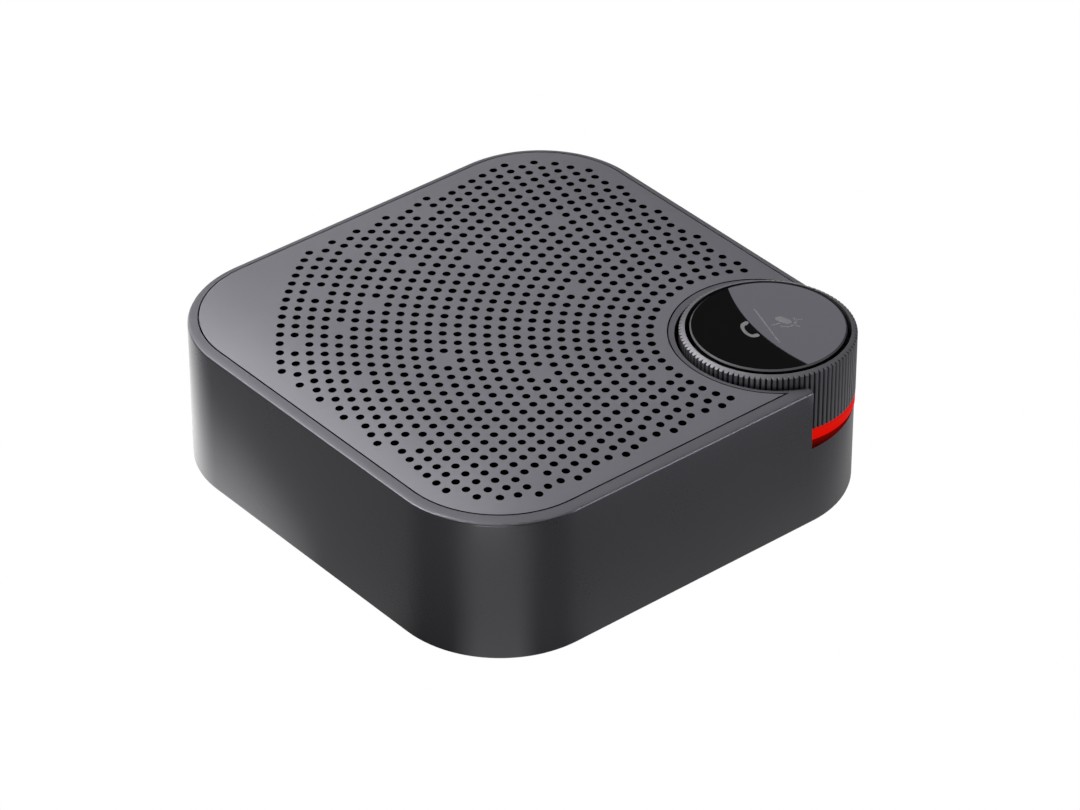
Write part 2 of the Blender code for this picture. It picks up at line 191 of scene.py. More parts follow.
def loft(sections):
    """Joins closed outlines with the same number of points, and closes both ends."""
    bm = bmesh.new()
    rows = [[bm.verts.new(point) for point in section] for section in sections]
    for row, after in zip(rows, rows[1:]):
        join_rows(bm, row, after)
    bm.faces.new(list(reversed(rows[0])))
    bm.faces.new(rows[-1])
    return bm


def square_loop(inset, z, arc_steps=24, run_steps=20):
    """The body's outline set in by a distance, as points at one height."""
    centre = HALF - CORNER_R
    radius = CORNER_R - inset
    points = []
    for quarter in range(4):
        middle = math.radians(45 + 90 * quarter)
        cx = math.copysign(centre, math.cos(middle))
        cy = math.copysign(centre, math.sin(middle))
        for i in range(arc_steps + 1):
            turn = math.radians(90 * (quarter + i / arc_steps))
            points.append(Vector((cx + radius * math.cos(turn), cy + radius * math.sin(turn), z)))
        along = Vector((-math.sin(turn), math.cos(turn), 0)) * 2 * centre / run_steps
        points += [points[-1] + along * i for i in range(1, run_steps)]
    return points


def square_prism(inset, z_low, z_high):
    return loft([square_loop(inset, z_low), square_loop(inset, z_high)])


def softened(profile, radius, steps=3, closed=True):
    """Rounds the corners of a profile; radius is one number or one for each corner."""
    radii = radius if isinstance(radius, (list, tuple)) else [radius] * len(profile)
    points = [Vector(point) for point in profile]
    made = []
    # No corner takes up more than this share of the edges beside it.
    share = 0.45
    for i, corner in enumerate(points):
        ends = not closed and i in (0, len(points) - 1)
        if ends or radii[i] == 0:
            made.append(tuple(corner))
            continue
        before, after = points[i - 1], points[(i + 1) % len(points)]
        reach = min(radii[i], (before - corner).length * share, (after - corner).length * share)
        start = corner + (before - corner).normalized() * reach
        end = corner + (after - corner).normalized() * reach
        for k in range(steps + 1):
            t = k / steps
            made.append(tuple(start * (1 - t) ** 2 + corner * 2 * t * (1 - t) + end * t * t))
    return made


ON_AXIS = 1e-6


def turned(profile, steps=128, centre=DIAL):
    """Sweeps (radius, height) points round a vertical axis. A profile off the axis closes on itself."""
    bm = bmesh.new()
    rows = []
    for radius, z in profile:
        count = steps if radius > ON_AXIS else 1
        turns = [2 * math.pi * i / count for i in range(count)]
        rows.append([bm.verts.new((centre[0] + radius * math.cos(t), centre[1] + radius * math.sin(t), z))
                     for t in turns])
    closed = profile[0][0] > ON_AXIS
    for row, after in zip(rows, rows[1:] + (rows[:1] if closed else [])):
        for i in range(steps):
            j = i + 1
            ring = [row[i % len(row)], row[j % len(row)], after[j % len(after)], after[i % len(after)]]
            corners = list(dict.fromkeys(ring))
            if len(corners) > 2:
                bm.faces.new(corners)
    return bm


def block(low, high):
    bm = bmesh.new()
    size = Vector(high) - Vector(low)
    middle = (Vector(high) + Vector(low)) / 2
    bmesh.ops.create_cube(bm, size=1.0, matrix=Matrix.Translation(middle) @ Matrix.Diagonal((*size, 1)))
    return bm


def pill_prism(x, z, width, tall, y_low, y_high, steps=12, low_inset=0.0, high_inset=0.0):
    """A round-ended bar along Y, as the rear slots and buttons are."""
    def outline(y, inset):
        radius, run = tall / 2 - inset, (width - tall) / 2
        turns = [math.pi * (i / steps - 0.5) for i in range(steps + 1)]
        right = [(x + run + radius * math.cos(t), y, z + radius * math.sin(t)) for t in turns]
        left = [(x - run - radius * math.cos(t), y, z - radius * math.sin(t)) for t in turns]
        return right + left
    return loft([outline(y_low, low_inset), outline(y_high, high_inset)])


# %% Turning drawn shapes into objects
def linked(name, data):
    """A new object that holds the data, in the scene's own collection."""
    obj = bpy.data.objects.new(name, data)
    bpy.context.scene.collection.objects.link(obj)
    return obj


def mesh_from(name, bm):
    """A mesh that takes over the drawn shape."""
    mesh = bpy.data.meshes.new(name)
    bm.to_mesh(mesh)
    bm.free()
    return mesh


def scratch(bm):
    """A passing object for the modifiers to work on."""
    bmesh.ops.remove_doubles(bm, verts=bm.verts, dist=1e-5)
    bmesh.ops.recalc_face_normals(bm, faces=bm.faces)
    return linked("scratch", mesh_from("scratch", bm))


def evaluated_mesh(obj):
    bpy.context.view_layer.update()
    graph = bpy.context.evaluated_depsgraph_get()
    return bpy.data.meshes.new_from_object(obj.evaluated_get(graph))


def carved(solid, *steps):
    """Combines a solid with (operation, tool) pairs in turn, all drawn in millimetres."""
    base = scratch(solid)
    tools = [scratch(tool) for operation, tool in steps]
    for (operation, _), tool in zip(steps, tools):
        modifier = base.modifiers.new("shape", "BOOLEAN")
        modifier.operation = operation
        modifier.object = tool
    mesh = evaluated_mesh(base)
    bm = bmesh.new()
    bm.from_mesh(mesh)
    for obj in [base, *tools]:
        bpy.data.objects.remove(obj)
    bmesh.ops.remove_doubles(bm, verts=bm.verts, dist=1e-4)
    return bm


def finished(name, shape, body, slot, replaced=(), materials=(), sharp=32):
    """Makes the object in metres from a drawn shape or a mesh, shades it, and hands it to the frame."""
    if isinstance(shape, bpy.types.Mesh):
        mesh = shape
        mesh.name = name
    else:
        mesh = bpy.data.meshes.new(name)
        if shape.calc_volume(signed=True) < 0:
            bmesh.ops.reverse_faces(shape, faces=shape.faces)
        shape.to_mesh(mesh)
        shape.free()
    mesh.transform(Matrix.Scale(MM, 4))
    if materials:
        mesh.materials.clear()
        for finish in materials:
            mesh.materials.append(finish)
    mesh.shade_smooth()
    mesh.set_sharp_from_angle(angle=math.radians(sharp))
    obj = linked(name, mesh)
    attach(obj, body)
    if replaced:
        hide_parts(*replaced)
    print(name, "has", sum(len(face.vertices) - 2 for face in mesh.polygons), "triangles")
    return obj


FACES_UP = 0.6


def follow_top(obj):
    """Gives the top surface's faces the normals of the drawn surface, so that its triangles don't show."""
    mesh = obj.data
    normals = [Vector((0, 0, 0))] * len(mesh.loops)
    for face in mesh.polygons:
        if face.normal.z < FACES_UP or face.center.z / MM < SHELF_Z + 0.6:
            continue
        for index in face.loop_indices:
            spot = mesh.vertices[mesh.loops[index].vertex_index].co / MM
            normals[index] = top_normal(spot.x, spot.y)
    mesh.normals_split_custom_set(normals)


# %% [markdown]
# ## Node helpers
# Shader trees and geometry trees are both built from nodes whose sockets hold a constant or a link, so one
# small function serves both. A value that is itself a socket becomes a link.

# %% Building node trees
def add(tree, kind, inputs=None, **settings):
    """Adds a node with its settings, and fills or links the inputs that are given."""
    made = tree.nodes.new(kind)
    for key, value in settings.items():
        setattr(made, key, value)
    for key, value in (inputs or {}).items():
        if isinstance(value, bpy.types.NodeSocket):
            tree.links.new(value, made.inputs[key])
        else:
            made.inputs[key].default_value = value
    return made


def colour_between(tree, share, dark, light):
    """The colour at a share of the way from one to another; the Mix node's colour sockets are 6 and 7."""
    return add(tree, "ShaderNodeMix", {0: share, 6: dark, 7: light}, data_type="RGBA").outputs[2]


def group_tree(name, kind, inputs, outputs):
    """A node group with named sockets; returns the tree, its input node and its output node."""
    tree = bpy.data.node_groups.new(name, kind)
    for title, socket, default in inputs:
        made = tree.interface.new_socket(title, in_out="INPUT", socket_type=socket)
        if default is not None:
            made.default_value = default
    for title, socket in outputs:
        tree.interface.new_socket(title, in_out="OUTPUT", socket_type=socket)
    return tree, tree.nodes.new("NodeGroupInput"), tree.nodes.new("NodeGroupOutput")


def geometry_tree(name, *inputs):
    """A geometry tree that takes and gives a Geometry, with a Finish among its inputs."""
    return group_tree(name, "GeometryNodeTree",
                      [("Geometry", "NodeSocketGeometry", None), *inputs,
                       ("Finish", "NodeSocketMaterial", None)],
                      [("Geometry", "NodeSocketGeometry")])


def end_tree(tree, given, result, geometry):
    """Paints a tree's geometry with its Finish and gives it out."""
    painted = add(tree, "GeometryNodeSetMaterial",
                  {"Geometry": geometry, "Material": given.outputs["Finish"]})
    tree.links.new(painted.outputs["Geometry"], result.inputs["Geometry"])
    return tree


# %% [markdown]
# ## Finishes
# Paint, anodising and moulded plastic all show the same thing close up: a fine random grain that moves the
# colour a little, the roughness a little more, and the surface by a few microns. That is one shader node
# group with its own numbers in each material. The shader itself stays in the material, with its constants
# on its own sockets.

# %% The grain group
def make_grain_group():
    tree, given, result = group_tree(
        "surface_grain", "ShaderNodeTree",
        [("Dark", "NodeSocketColor", (0.02, 0.02, 0.02, 1)),
         ("Light", "NodeSocketColor", (0.03, 0.03, 0.03, 1)),
         ("Grain Size", "NodeSocketFloat", 0.0003), ("Patch Size", "NodeSocketFloat", 0.02),
         ("Smooth", "NodeSocketFloat", 0.35), ("Rough", "NodeSocketFloat", 0.5)],
        [("Color", "NodeSocketColor"), ("Roughness", "NodeSocketFloat"), ("Height", "NodeSocketFloat")])
    where = add(tree, "ShaderNodeTexCoord").outputs["Object"]
    fine_scale = add(tree, "ShaderNodeMath", {0: 1.0, 1: given.outputs["Grain Size"]}, operation="DIVIDE")
    patch_scale = add(tree, "ShaderNodeMath", {0: 1.0, 1: given.outputs["Patch Size"]}, operation="DIVIDE")
    fine = add(tree, "ShaderNodeTexNoise",
               {"Vector": where, "Scale": fine_scale.outputs[0], "Detail": 2.0, "Roughness": 0.6})
    patch = add(tree, "ShaderNodeTexNoise", {"Vector": where, "Scale": patch_scale.outputs[0], "Detail": 3.0})
    patch_part = add(tree, "ShaderNodeMath", {0: patch.outputs["Fac"], 1: 0.4}, operation="MULTIPLY")
    blend = add(tree, "ShaderNodeMath", {0: fine.outputs["Fac"], 1: 0.6, 2: patch_part.outputs[0]},
                operation="MULTIPLY_ADD")
    middle_range = {"Value": blend.outputs[0], "From Min": 0.3, "From Max": 0.7}
    spread = add(tree, "ShaderNodeMapRange", middle_range)
    colour = colour_between(tree, spread.outputs[0], given.outputs["Dark"], given.outputs["Light"])
    rough = add(tree, "ShaderNodeMapRange", {**middle_range, "To Min": given.outputs["Smooth"],
                                             "To Max": given.outputs["Rough"]})
    tree.links.new(colour, result.inputs["Color"])
    tree.links.new(rough.outputs[0], result.inputs["Roughness"])
    tree.links.new(fine.outputs["Fac"], result.inputs["Height"])
    return tree


GRAIN = make_grain_group()


def grained(name, dark, light, rough, grain_mm=0.3, patch_mm=20.0, bump_mm=0.01, **shader):
    """A Principled material whose colour, roughness and bump come from the grain group."""
    material = bpy.data.materials.new(name)
    material.use_nodes = True
    tree = material.node_tree
    principled = tree.nodes["Principled BSDF"]
    grain = tree.nodes.new("ShaderNodeGroup")
    grain.node_tree = GRAIN
    values = {"Dark": (*dark, 1), "Light": (*light, 1), "Smooth": rough[0], "Rough": rough[1],
              "Grain Size": grain_mm * MM, "Patch Size": patch_mm * MM}
    for key, value in values.items():
        grain.inputs[key].default_value = value
    bump = add(tree, "ShaderNodeBump", {"Height": grain.outputs["Height"], "Distance": bump_mm * MM,
                                        "Strength": 0.6})
    tree.links.new(grain.outputs["Color"], principled.inputs["Base Color"])
    tree.links.new(grain.outputs["Roughness"], principled.inputs["Roughness"])
    tree.links.new(bump.outputs["Normal"], principled.inputs["Normal"])
    for key, value in shader.items():
        principled.inputs[key.replace("_", " ")].default_value = value
    return material


def shades(colour, spread=0.1):
    """A darker and a lighter neighbour of a colour."""
    return [tuple(c * (1 - spread) for c in colour), tuple(c * (1 + spread) for c in colour)]


# %% The finishes of the outside
housing_paint = grained("housing_paint", *shades((0.080, 0.079, 0.087), 0.05), rough=(0.26, 0.33),
                        grain_mm=0.18, bump_mm=0.003, Metallic=0.5)
plate_anodised = grained("plate_anodised", *shades((0.335, 0.330, 0.366), 0.05), rough=(0.36, 0.44),
                         grain_mm=0.12, bump_mm=0.003, Metallic=0.45)
# The rim's upward faces get a lighter copy of the housing's finish: painted light for the light that falls on
# them from above.
rim_painted_light = grained("rim_painted_light", *shades((0.250, 0.246, 0.274), 0.05), rough=(0.34, 0.42),
                       grain_mm=0.12, bump_mm=0.003, Metallic=0.45)
ring_anodised = grained("ring_anodised", *shades((0.14, 0.138, 0.15), 0.06), rough=(0.34, 0.42),
                        grain_mm=0.12, bump_mm=0.003, Metallic=0.6)
# The ring's upward faces get a lighter copy of its finish: painted light from above.
ring_top_painted_light = grained("ring_top_painted_light", *shades((0.30, 0.296, 0.318), 0.05), rough=(0.36, 0.44),
                   grain_mm=0.12, bump_mm=0.003, Metallic=0.5)
# The knurl's grooves get a near-black copy of the ring's finish: painted shade in the grooves.
groove_painted_shade = grained("groove_painted_shade", *shades((0.02, 0.02, 0.022), 0.06), rough=(0.5, 0.6), bump_mm=0.003)
# Hole walls, edges and the underside of the plate get near black with no reflection: painted shade in the
# holes.
bore_painted_shade = grained("bore_painted_shade", *shades((0.001, 0.001, 0.001)), rough=(0.8, 0.9), Specular_IOR_Level=0.0)
print("materials so far:", len(bpy.data.materials))

# %% [markdown]
# ## The perforated plate
# On the real object the plate is pressed from sheet metal and pierced on rings about the dial. One way
# would be a texture with transparency, but real holes catch the light and show the dark cloth behind, so
# they are cut. Geometry Nodes do it in one tree: the outline becomes a curve, a circle is placed on every
# loose point, the lot is filled as one face with holes, and that face is extruded to the sheet's
# thickness.

# %% Where the holes are
PITCH = 2.981
HOLE_R = 0.855
RINGS = range(8, 34)
BORDER_HALF = 48.6
BORDER_CORNER = 17.2
BLANKS = {(9, 6), (11, -9), (14, -4), (16, 6), (20, -13), (22, -7), (22, 5), (23, 20), (26, -6), (27, -1),
          (27, 15), (28, -13), (28, 8), (29, 2), (30, -7), (31, -2), (32, 4)}
FINE_STEP = 0.01
LOOSE_END = 0.6
END_GAP = 0.45
SPREAD = (1.0, 0.7, 0.35, 0.15)


def ring_spot(ring, place):
    """Ring k holds 6 k places; place 0 lies on the diagonal away from the dial."""
    turn = math.radians(135 + 60 * place / ring)
    return Vector((DIAL.x + ring * PITCH * math.cos(turn), DIAL.y + ring * PITCH * math.sin(turn), 0))


def inside_border(spot):
    return inset_at(spot.x, spot.y, BORDER_CORNER + HALF - BORDER_HALF) > HALF - BORDER_HALF


def hole_spots():
    """Fills each ring up to the border; where most of a step is left over, the last holes spread into it."""
    spots = []
    for ring in RINGS:
        reach = 0.0
        while inside_border(ring_spot(ring, reach + FINE_STEP)):
            reach += FINE_STEP
        last = int(reach)
        leftover = reach - last
        for side in (-1, 1):
            for place in range(last + 1):
                if (ring, side * place) in BLANKS or (place == 0 and side < 0):
                    continue
                from_end = last - place
                shift = 0.0
                if leftover > LOOSE_END and from_end < len(SPREAD):
                    shift = (leftover - END_GAP) * SPREAD[from_end]
                spots.append(ring_spot(ring, side * (place + shift)))
    return spots


holes = hole_spots()
print("holes:", len(holes))


# %% The plate's outline, with its two rounded tips beside the dial
def plate_outline(inset=2.4, gap=0.3, tip=1.1):
    reach = COLLAR_R + gap
    side = HALF - inset - DIAL.x
    run = math.sqrt(reach ** 2 - side ** 2)
    square = square_loop(inset, 0)
    kept = [(p - Vector((DIAL.x, DIAL.y, 0))).length > reach + 0.6 for p in square]
    start = next(i for i in range(len(square)) if kept[i] and not kept[i - 1])
    order = [(start + i) % len(square) for i in range(len(square))]
    around = [square[i] for i in order if kept[i]]
    first, last = math.atan2(run, side), math.atan2(-side, -run) + 2 * math.pi
    steps = 80
    arc = [Vector((DIAL.x + reach * math.cos(t), DIAL.y + reach * math.sin(t), 0))
           for t in (last + (first - last) * i / steps for i in range(steps + 1))]
    outline = around + arc
    radii = [0.0] * len(around) + [tip] + [0.0] * (steps - 1) + [tip]
    return softened(outline, radii, steps=5)


# %% Geometry Nodes that pierce the sheet
# The Compare node has its sockets A and B once for each kind of value. These are the ones for whole numbers.
WHOLE_A, WHOLE_B = 2, 3


def make_piercing_tree():
    tree, given, result = geometry_tree(
        "pierced_sheet", ("Hole Radius", "NodeSocketFloat", 0.7), ("Hole Sides", "NodeSocketInt", 20),
        ("Thickness", "NodeSocketFloat", 1.6))
    outline = add(tree, "GeometryNodeMeshToCurve", {"Mesh": given.outputs["Geometry"]})
    neighbours = add(tree, "GeometryNodeInputMeshVertexNeighbors").outputs["Vertex Count"]
    loose = add(tree, "FunctionNodeCompare", {WHOLE_A: neighbours, WHOLE_B: 0}, data_type="INT",
                operation="EQUAL")
    points = add(tree, "GeometryNodeMeshToPoints",
                 {"Mesh": given.outputs["Geometry"], "Selection": loose.outputs["Result"]})
    circle = add(tree, "GeometryNodeCurvePrimitiveCircle",
                 {"Resolution": given.outputs["Hole Sides"], "Radius": given.outputs["Hole Radius"]})
    placed = add(tree, "GeometryNodeInstanceOnPoints",
                 {"Points": points.outputs["Points"], "Instance": circle.outputs["Curve"]})
    real = add(tree, "GeometryNodeRealizeInstances", {"Geometry": placed.outputs["Instances"]})
    join = tree.nodes.new("GeometryNodeJoinGeometry")
    tree.links.new(real.outputs["Geometry"], join.inputs[0])
    tree.links.new(outline.outputs["Curve"], join.inputs[0])
    fill = add(tree, "GeometryNodeFillCurve", {"Curve": join.outputs[0]})
    fill.mode = "TRIANGLES"
    sheet = add(tree, "GeometryNodeExtrudeMesh",
                {"Mesh": fill.outputs["Mesh"], "Offset Scale": given.outputs["Thickness"],
                 "Individual": False})
    under = add(tree, "GeometryNodeFlipFaces", {"Mesh": fill.outputs["Mesh"]})
    both = tree.nodes.new("GeometryNodeJoinGeometry")
    tree.links.new(sheet.outputs["Mesh"], both.inputs[0])
    tree.links.new(under.outputs["Mesh"], both.inputs[0])
    welded = add(tree, "GeometryNodeMergeByDistance", {"Geometry": both.outputs[0], "Distance": 0.001})
    plain = add(tree, "GeometryNodeRealizeInstances", {"Geometry": welded.outputs["Geometry"]})
    return end_tree(tree, given, result, plain.outputs["Geometry"])


def run_nodes(bm, tree, values):
    """Runs a geometry tree on a drawn mesh, with its inputs set by identifier, and returns a plain mesh."""
    obj = linked("source", mesh_from("source", bm))
    modifier = obj.modifiers.new("nodes", "NODES")
    modifier.node_group = tree
    items = tree.interface.items_tree
    sockets = {item.name: item.identifier for item in items if item.in_out == "INPUT"}
    for title, value in values.items():
        modifier[sockets[title]] = value
    made = evaluated_mesh(obj)
    obj.modifiers.clear()
    bpy.data.objects.remove(obj)
    # The source leaves an empty material slot in front, so the finish that the tree sets is moved to slot 0.
    finishes = [finish for finish in made.materials if finish]
    made.materials.clear()
    for finish in finishes:
        made.materials.append(finish)
    made.polygons.foreach_set("material_index", [0] * len(made.polygons))
    return made


# %% Pierce the plate and raise it onto the dome
PLATE_T = 1.6
HOLE_SIDES = 18


def make_plate():
    bm = bmesh.new()
    rim = [bm.verts.new((x, y, 0)) for x, y, _ in plate_outline()]
    for i, vert in enumerate(rim):
        bm.edges.new((vert, rim[(i + 1) % len(rim)]))
    for spot in holes:
        bm.verts.new(spot)
    mesh = run_nodes(bm, make_piercing_tree(), {"Hole Radius": HOLE_R, "Hole Sides": HOLE_SIDES,
                                                "Thickness": PLATE_T, "Finish": plate_anodised})
    mesh.materials.append(bore_painted_shade)
    # Faces that don't face up, the hole walls among them, take the painted shade.
    for face in mesh.polygons:
        face.material_index = 0 if face.normal.z > 0.5 else 1
    for vert in mesh.vertices:
        vert.co.z += dome_height(inset_at(vert.co.x, vert.co.y)) - PLATE_T
    plate = finished("pierced_plate", mesh, "housing", "grille_metal", ["grille_plate"])
    follow_top(plate)


make_plate()

# %% [markdown]
# ## The housing
# The shell is a square tube with rounded corners, a shelf for the plate, a round pocket for the dial and a
# wall that is cut away at the dial's corner. All its walls are upright, so it is carved as an upright
# solid with a flat lid first. Then the lid's faces are taken off and a fine triangulated skin is laid
# between the same edges, at the height of the shared top surface. The walls simply shorten to meet it.

# %% Carve the upright solid
LID_Z = 38.0
WALL_T = 2.4
NECK_IN = 3.7
NECK_Z = 29.0
RECESS_IN = 2.1
SCREW_AT = 44.5
BOSS_R, BORE = 3.2, 1.6
POST_HOLE_R = 4.2
LIGHT_AT = 9.5
SOCKET_HOLE, LIGHT_HOLE, KEY_HOLE = (10.0, 4.2), (2.41, 2.4), (8.6, 4.6)
BUTTONS = {"power": 18.0, "pairing": 29.0}


def disc_tool(radius, z_low, z_high, centre=DIAL, steps=128):
    return turned([(0, z_high), (radius, z_high), (radius, z_low), (0, z_low)], steps, centre)


def carve_housing():
    foot = [(0.6, 0.0), (0.3, 0.08), (0.1, 0.28), (0.0, 0.6)]
    walls = [square_loop(inset, UNDERSIDE + rise) for inset, rise in foot] + [square_loop(0, LID_Z)]
    collar = carved(disc_tool(COLLAR_R, LEDGE_Z - 2.0, LID_Z),
                    ("INTERSECT", square_prism(0.5, UNDERSIDE, LID_Z)))
    inner_y = HALF - WALL_T - 1
    steps = [("DIFFERENCE", square_prism(RECESS_IN, SHELF_Z, LID_Z + 2)),
             ("DIFFERENCE", square_prism(NECK_IN, NECK_Z - 1, SHELF_Z + 1)),
             ("DIFFERENCE", square_prism(WALL_T, UNDERSIDE - 1, NECK_Z)),
             ("UNION", collar),
             ("DIFFERENCE", disc_tool(POCKET_R, LEDGE_Z, LID_Z + 2)),
             ("DIFFERENCE", block((CUT_AT, -HALF - 5, LEDGE_Z), (HALF + 5, -CUT_AT, LID_Z + 2))),
             ("DIFFERENCE", disc_tool(POST_HOLE_R, LEDGE_Z - 5, LEDGE_Z + 1, steps=48))]
    rear_holes = [(0, SOCKET_HOLE), (LIGHT_AT, LIGHT_HOLE), *((x, KEY_HOLE) for x in BUTTONS.values())]
    for x, (width, tall) in rear_holes:
        steps.append(("DIFFERENCE", pill_prism(x, PORT_Z, width, tall, inner_y, HALF + 2)))
    low, bore_top, high = base_high.z + 0.3, 12.5, 16.0
    for x, y in ((-1, -1), (1, -1), (-1, 1), (1, 1)):
        boss = [(0, high), (BOSS_R, high), (BOSS_R, low), (BORE, low), (BORE, bore_top), (0, bore_top)]
        steps.append(("UNION", turned(boss, 32, (x * SCREW_AT, y * SCREW_AT))))
    return carved(loft(walls), *steps)


# %% Lay the fine top skin
SKIN_INSETS = (0.03, 0.08, 0.16, 0.3, 0.5, 0.7, 0.95, 1.3, 1.7, 2.0)
SKIN_RADII = (19.0, 19.15, 19.4, 19.7, 19.95)


def skin_rows():
    """Rows of points that follow the rim and the collar; the flag says which of the two."""
    for inset in SKIN_INSETS:
        yield square_loop(inset, 0, 30, 36), True
    turns = [2 * math.pi * i / 160 for i in range(160)]
    for radius in SKIN_RADII:
        row = [Vector((DIAL.x + radius * math.cos(t), DIAL.y + radius * math.sin(t), 0)) for t in turns]
        yield row, False


def in_top_domain(x, y, clear=0.0):
    """True where the housing itself, not the plate or the dial, is the top surface."""
    reach, inset = reach_at(x, y), inset_at(x, y)
    in_cut = x > CUT_AT - clear and y < -CUT_AT + clear
    if inset < clear or reach < POCKET_R + clear or in_cut:
        return False
    return inset < RECESS_IN - clear or reach < COLLAR_R - clear


def lay_skin(bm):
    """Takes the flat lid off and lays a triangulated skin in its outline, at the top surface's height."""
    lid = [face for face in bm.faces if all(vert.co.z > LID_Z - 0.01 for vert in face.verts)]
    rim = list({vert: None for face in lid for vert in face.verts})
    index = {vert: i for i, vert in enumerate(rim)}
    points = [Vector((vert.co.x, vert.co.y)) for vert in rim]
    outlines = [[index[vert] for vert in face.verts] for face in lid]
    bmesh.ops.delete(bm, geom=lid, context="FACES")
    edges = []
    for row, clear_of_collar in skin_rows():
        previous = None
        for spot in row:
            free = in_top_domain(spot.x, spot.y, 0.03)
            if clear_of_collar:
                free = free and reach_at(spot.x, spot.y) > COLLAR_R + 0.05
            else:
                free = free and inset_at(spot.x, spot.y) > RECESS_IN + 0.05
            if free:
                points.append(Vector((spot.x, spot.y)))
                if previous is not None:
                    edges.append((previous, len(points) - 1))
            previous = len(points) - 1 if free else None
    verts, _, faces, origins, _, covers = delaunay_2d_cdt(points, edges, outlines, 0, 1e-5)
    made = []
    for spot, origin in zip(verts, origins):
        old = next((rim[i] for i in origin if i < len(rim) and rim[i].is_valid), None)
        made.append(old or bm.verts.new((spot.x, spot.y, 0)))
    for vert in made:
        vert.co.z = top_height(vert.co.x, vert.co.y)
    for face, cover in zip(faces, covers):
        if cover:
            bm.faces.new([made[i] for i in face])
    bmesh.ops.delete(bm, geom=[vert for vert in bm.verts if not vert.link_faces], context="VERTS")
    bmesh.ops.recalc_face_normals(bm, faces=bm.faces)
    return bm


def make_housing():
    bm = lay_skin(carve_housing())
    open_edges = [edge for edge in bm.edges if len(edge.link_faces) != 2]
    print("housing edges that are not shared by two faces:", len(open_edges))
    housing = finished("painted_housing", bm, "housing", "housing_finish", ["housing_shell"],
                       [housing_paint, ledge_lit, rim_painted_light])
    for face in housing.data.polygons:
        x, y, z = face.center / MM
        if abs(z - LEDGE_Z) < 0.05 and face.normal.z > 0.9:
            face.material_index = 1
        # Upward faces of the rim and the collar take the rim's painted light.
        elif z > WALL_TOP and face.normal.z > FACES_UP and in_top_domain(x, y):
            face.material_index = 2
    follow_top(housing)


# %% [markdown]
# ## Light that glows
# The dial stands on a ring of red light, which shows where the wall is cut away. The ring is a light
# guide, so it is a saturated emitter, masked to the open corner. The ledge below it picks the colour up. A
# path tracer would give the ledge its glow too, but faintly and with noise, so its paint gets a red
# emission that fades away from the ring.

# %% Red light guide and lit ledge
TO_CORNER = (math.sqrt(0.5), -math.sqrt(0.5), 0)
OPEN_CORNER = (3.0, 7.5)


def glowing(name, colour, strength, fade=None, base=(0.02, 0.002, 0.002)):
    """Emission that fades with the distance from the dial's axis, or shows in the open corner alone."""
    material = bpy.data.materials.new(name)
    material.use_nodes = True
    tree = material.node_tree
    principled = tree.nodes["Principled BSDF"]
    principled.inputs["Base Color"].default_value = (*base, 1)
    principled.inputs["Roughness"].default_value = 0.6
    principled.inputs["Specular IOR Level"].default_value = 0.05
    principled.inputs["Emission Strength"].default_value = strength
    where = add(tree, "ShaderNodeTexCoord").outputs["Object"]
    moved = add(tree, "ShaderNodeMapping", {"Vector": where, "Location": (-DIAL.x * MM, -DIAL.y * MM, 0)})
    if fade:
        flat = add(tree, "ShaderNodeVectorMath", {0: moved.outputs[0], 1: (1, 1, 0)}, operation="MULTIPLY")
        reach = add(tree, "ShaderNodeVectorMath", {0: flat.outputs[0]}, operation="LENGTH")
        mask = add(tree, "ShaderNodeMapRange", {"Value": reach.outputs["Value"], "From Min": fade[0] * MM,
                                                "From Max": fade[1] * MM, "To Min": 1.0, "To Max": 0.25})
    else:
        out = add(tree, "ShaderNodeVectorMath", {0: moved.outputs[0], 1: TO_CORNER}, operation="DOT_PRODUCT")
        start, full = OPEN_CORNER
        mask = add(tree, "ShaderNodeMapRange", {"Value": out.outputs["Value"], "From Min": start * MM,
                                                "From Max": full * MM})
    tint = colour_between(tree, mask.outputs[0], (0, 0, 0, 1), (*colour, 1))
    tree.links.new(tint, principled.inputs["Emission Color"])
    return material


red_light = glowing("red_light", (0.66, 0.0035, 0.0003), 1.0)
ledge_lit = glowing("ledge_lit", (0.12, 0.002, 0.001), 1.0, fade=(18.0, 19.6))
make_housing()


def make_light_ring():
    low, high, inner = light_low.z, light_high.z, 15.0
    profile = softened([(LIGHT_R, high), (LIGHT_R, low), (inner, low), (inner, high)], 0.15)
    finished("red_light_guide", turned(profile, 160), "housing", "red_diffuser", ["light_ring"], [red_light])


make_light_ring()

# %% [markdown]
# ## The knurled volume ring
# A hundred straight grooves run down the ring's side and notch its top edge. The whole ring is one slice
# of a hundredth of a turn, drawn once and repeated about the axis by Geometry Nodes, then welded. A slice
# has six columns of the ring's profile; only the outer radius changes from the ridge to the floor of the
# groove.

# %% One slice of the ring
TEETH = 100
GROOVE_DEPTH = 0.62
TOOTH_COLUMNS = ((0.0, 1.0), (0.14, 0.35), (0.24, 0.0), (0.76, 0.0), (0.86, 0.35), (1.0, 1.0))
BORE_R = 16.8
SKIRT_R = 16.4
TOP_FALL = 0.55
HUB_IN, HUB_OUT = 9.3, 10.6
HUB_LOW, HUB_HIGH = 22.8, 29.3
WEB_LOW, WEB_HIGH = 24.5, 26.0


def ring_profile(outer):
    """The ring's section with a given outer radius: bore, sloping top, side, and the web with its hub."""
    top, low = ring_high.z, ring_low.z
    shoulder = top - TOP_FALL * (outer - BORE_R) / (RING_R - BORE_R)
    rim = [(BORE_R, top), (outer, shoulder), (outer, low), (SKIRT_R, low)]
    hub = [(HUB_OUT, HUB_LOW), (HUB_IN, HUB_LOW), (HUB_IN, HUB_HIGH), (HUB_OUT, HUB_HIGH)]
    web_under, web_over = [(SKIRT_R, WEB_LOW), (HUB_OUT, WEB_LOW)], [(HUB_OUT, WEB_HIGH), (BORE_R, WEB_HIGH)]
    return softened([*rim, *web_under, *hub, *web_over], [0.1, 0.14, 0.1] + [0.0] * 9, steps=2)


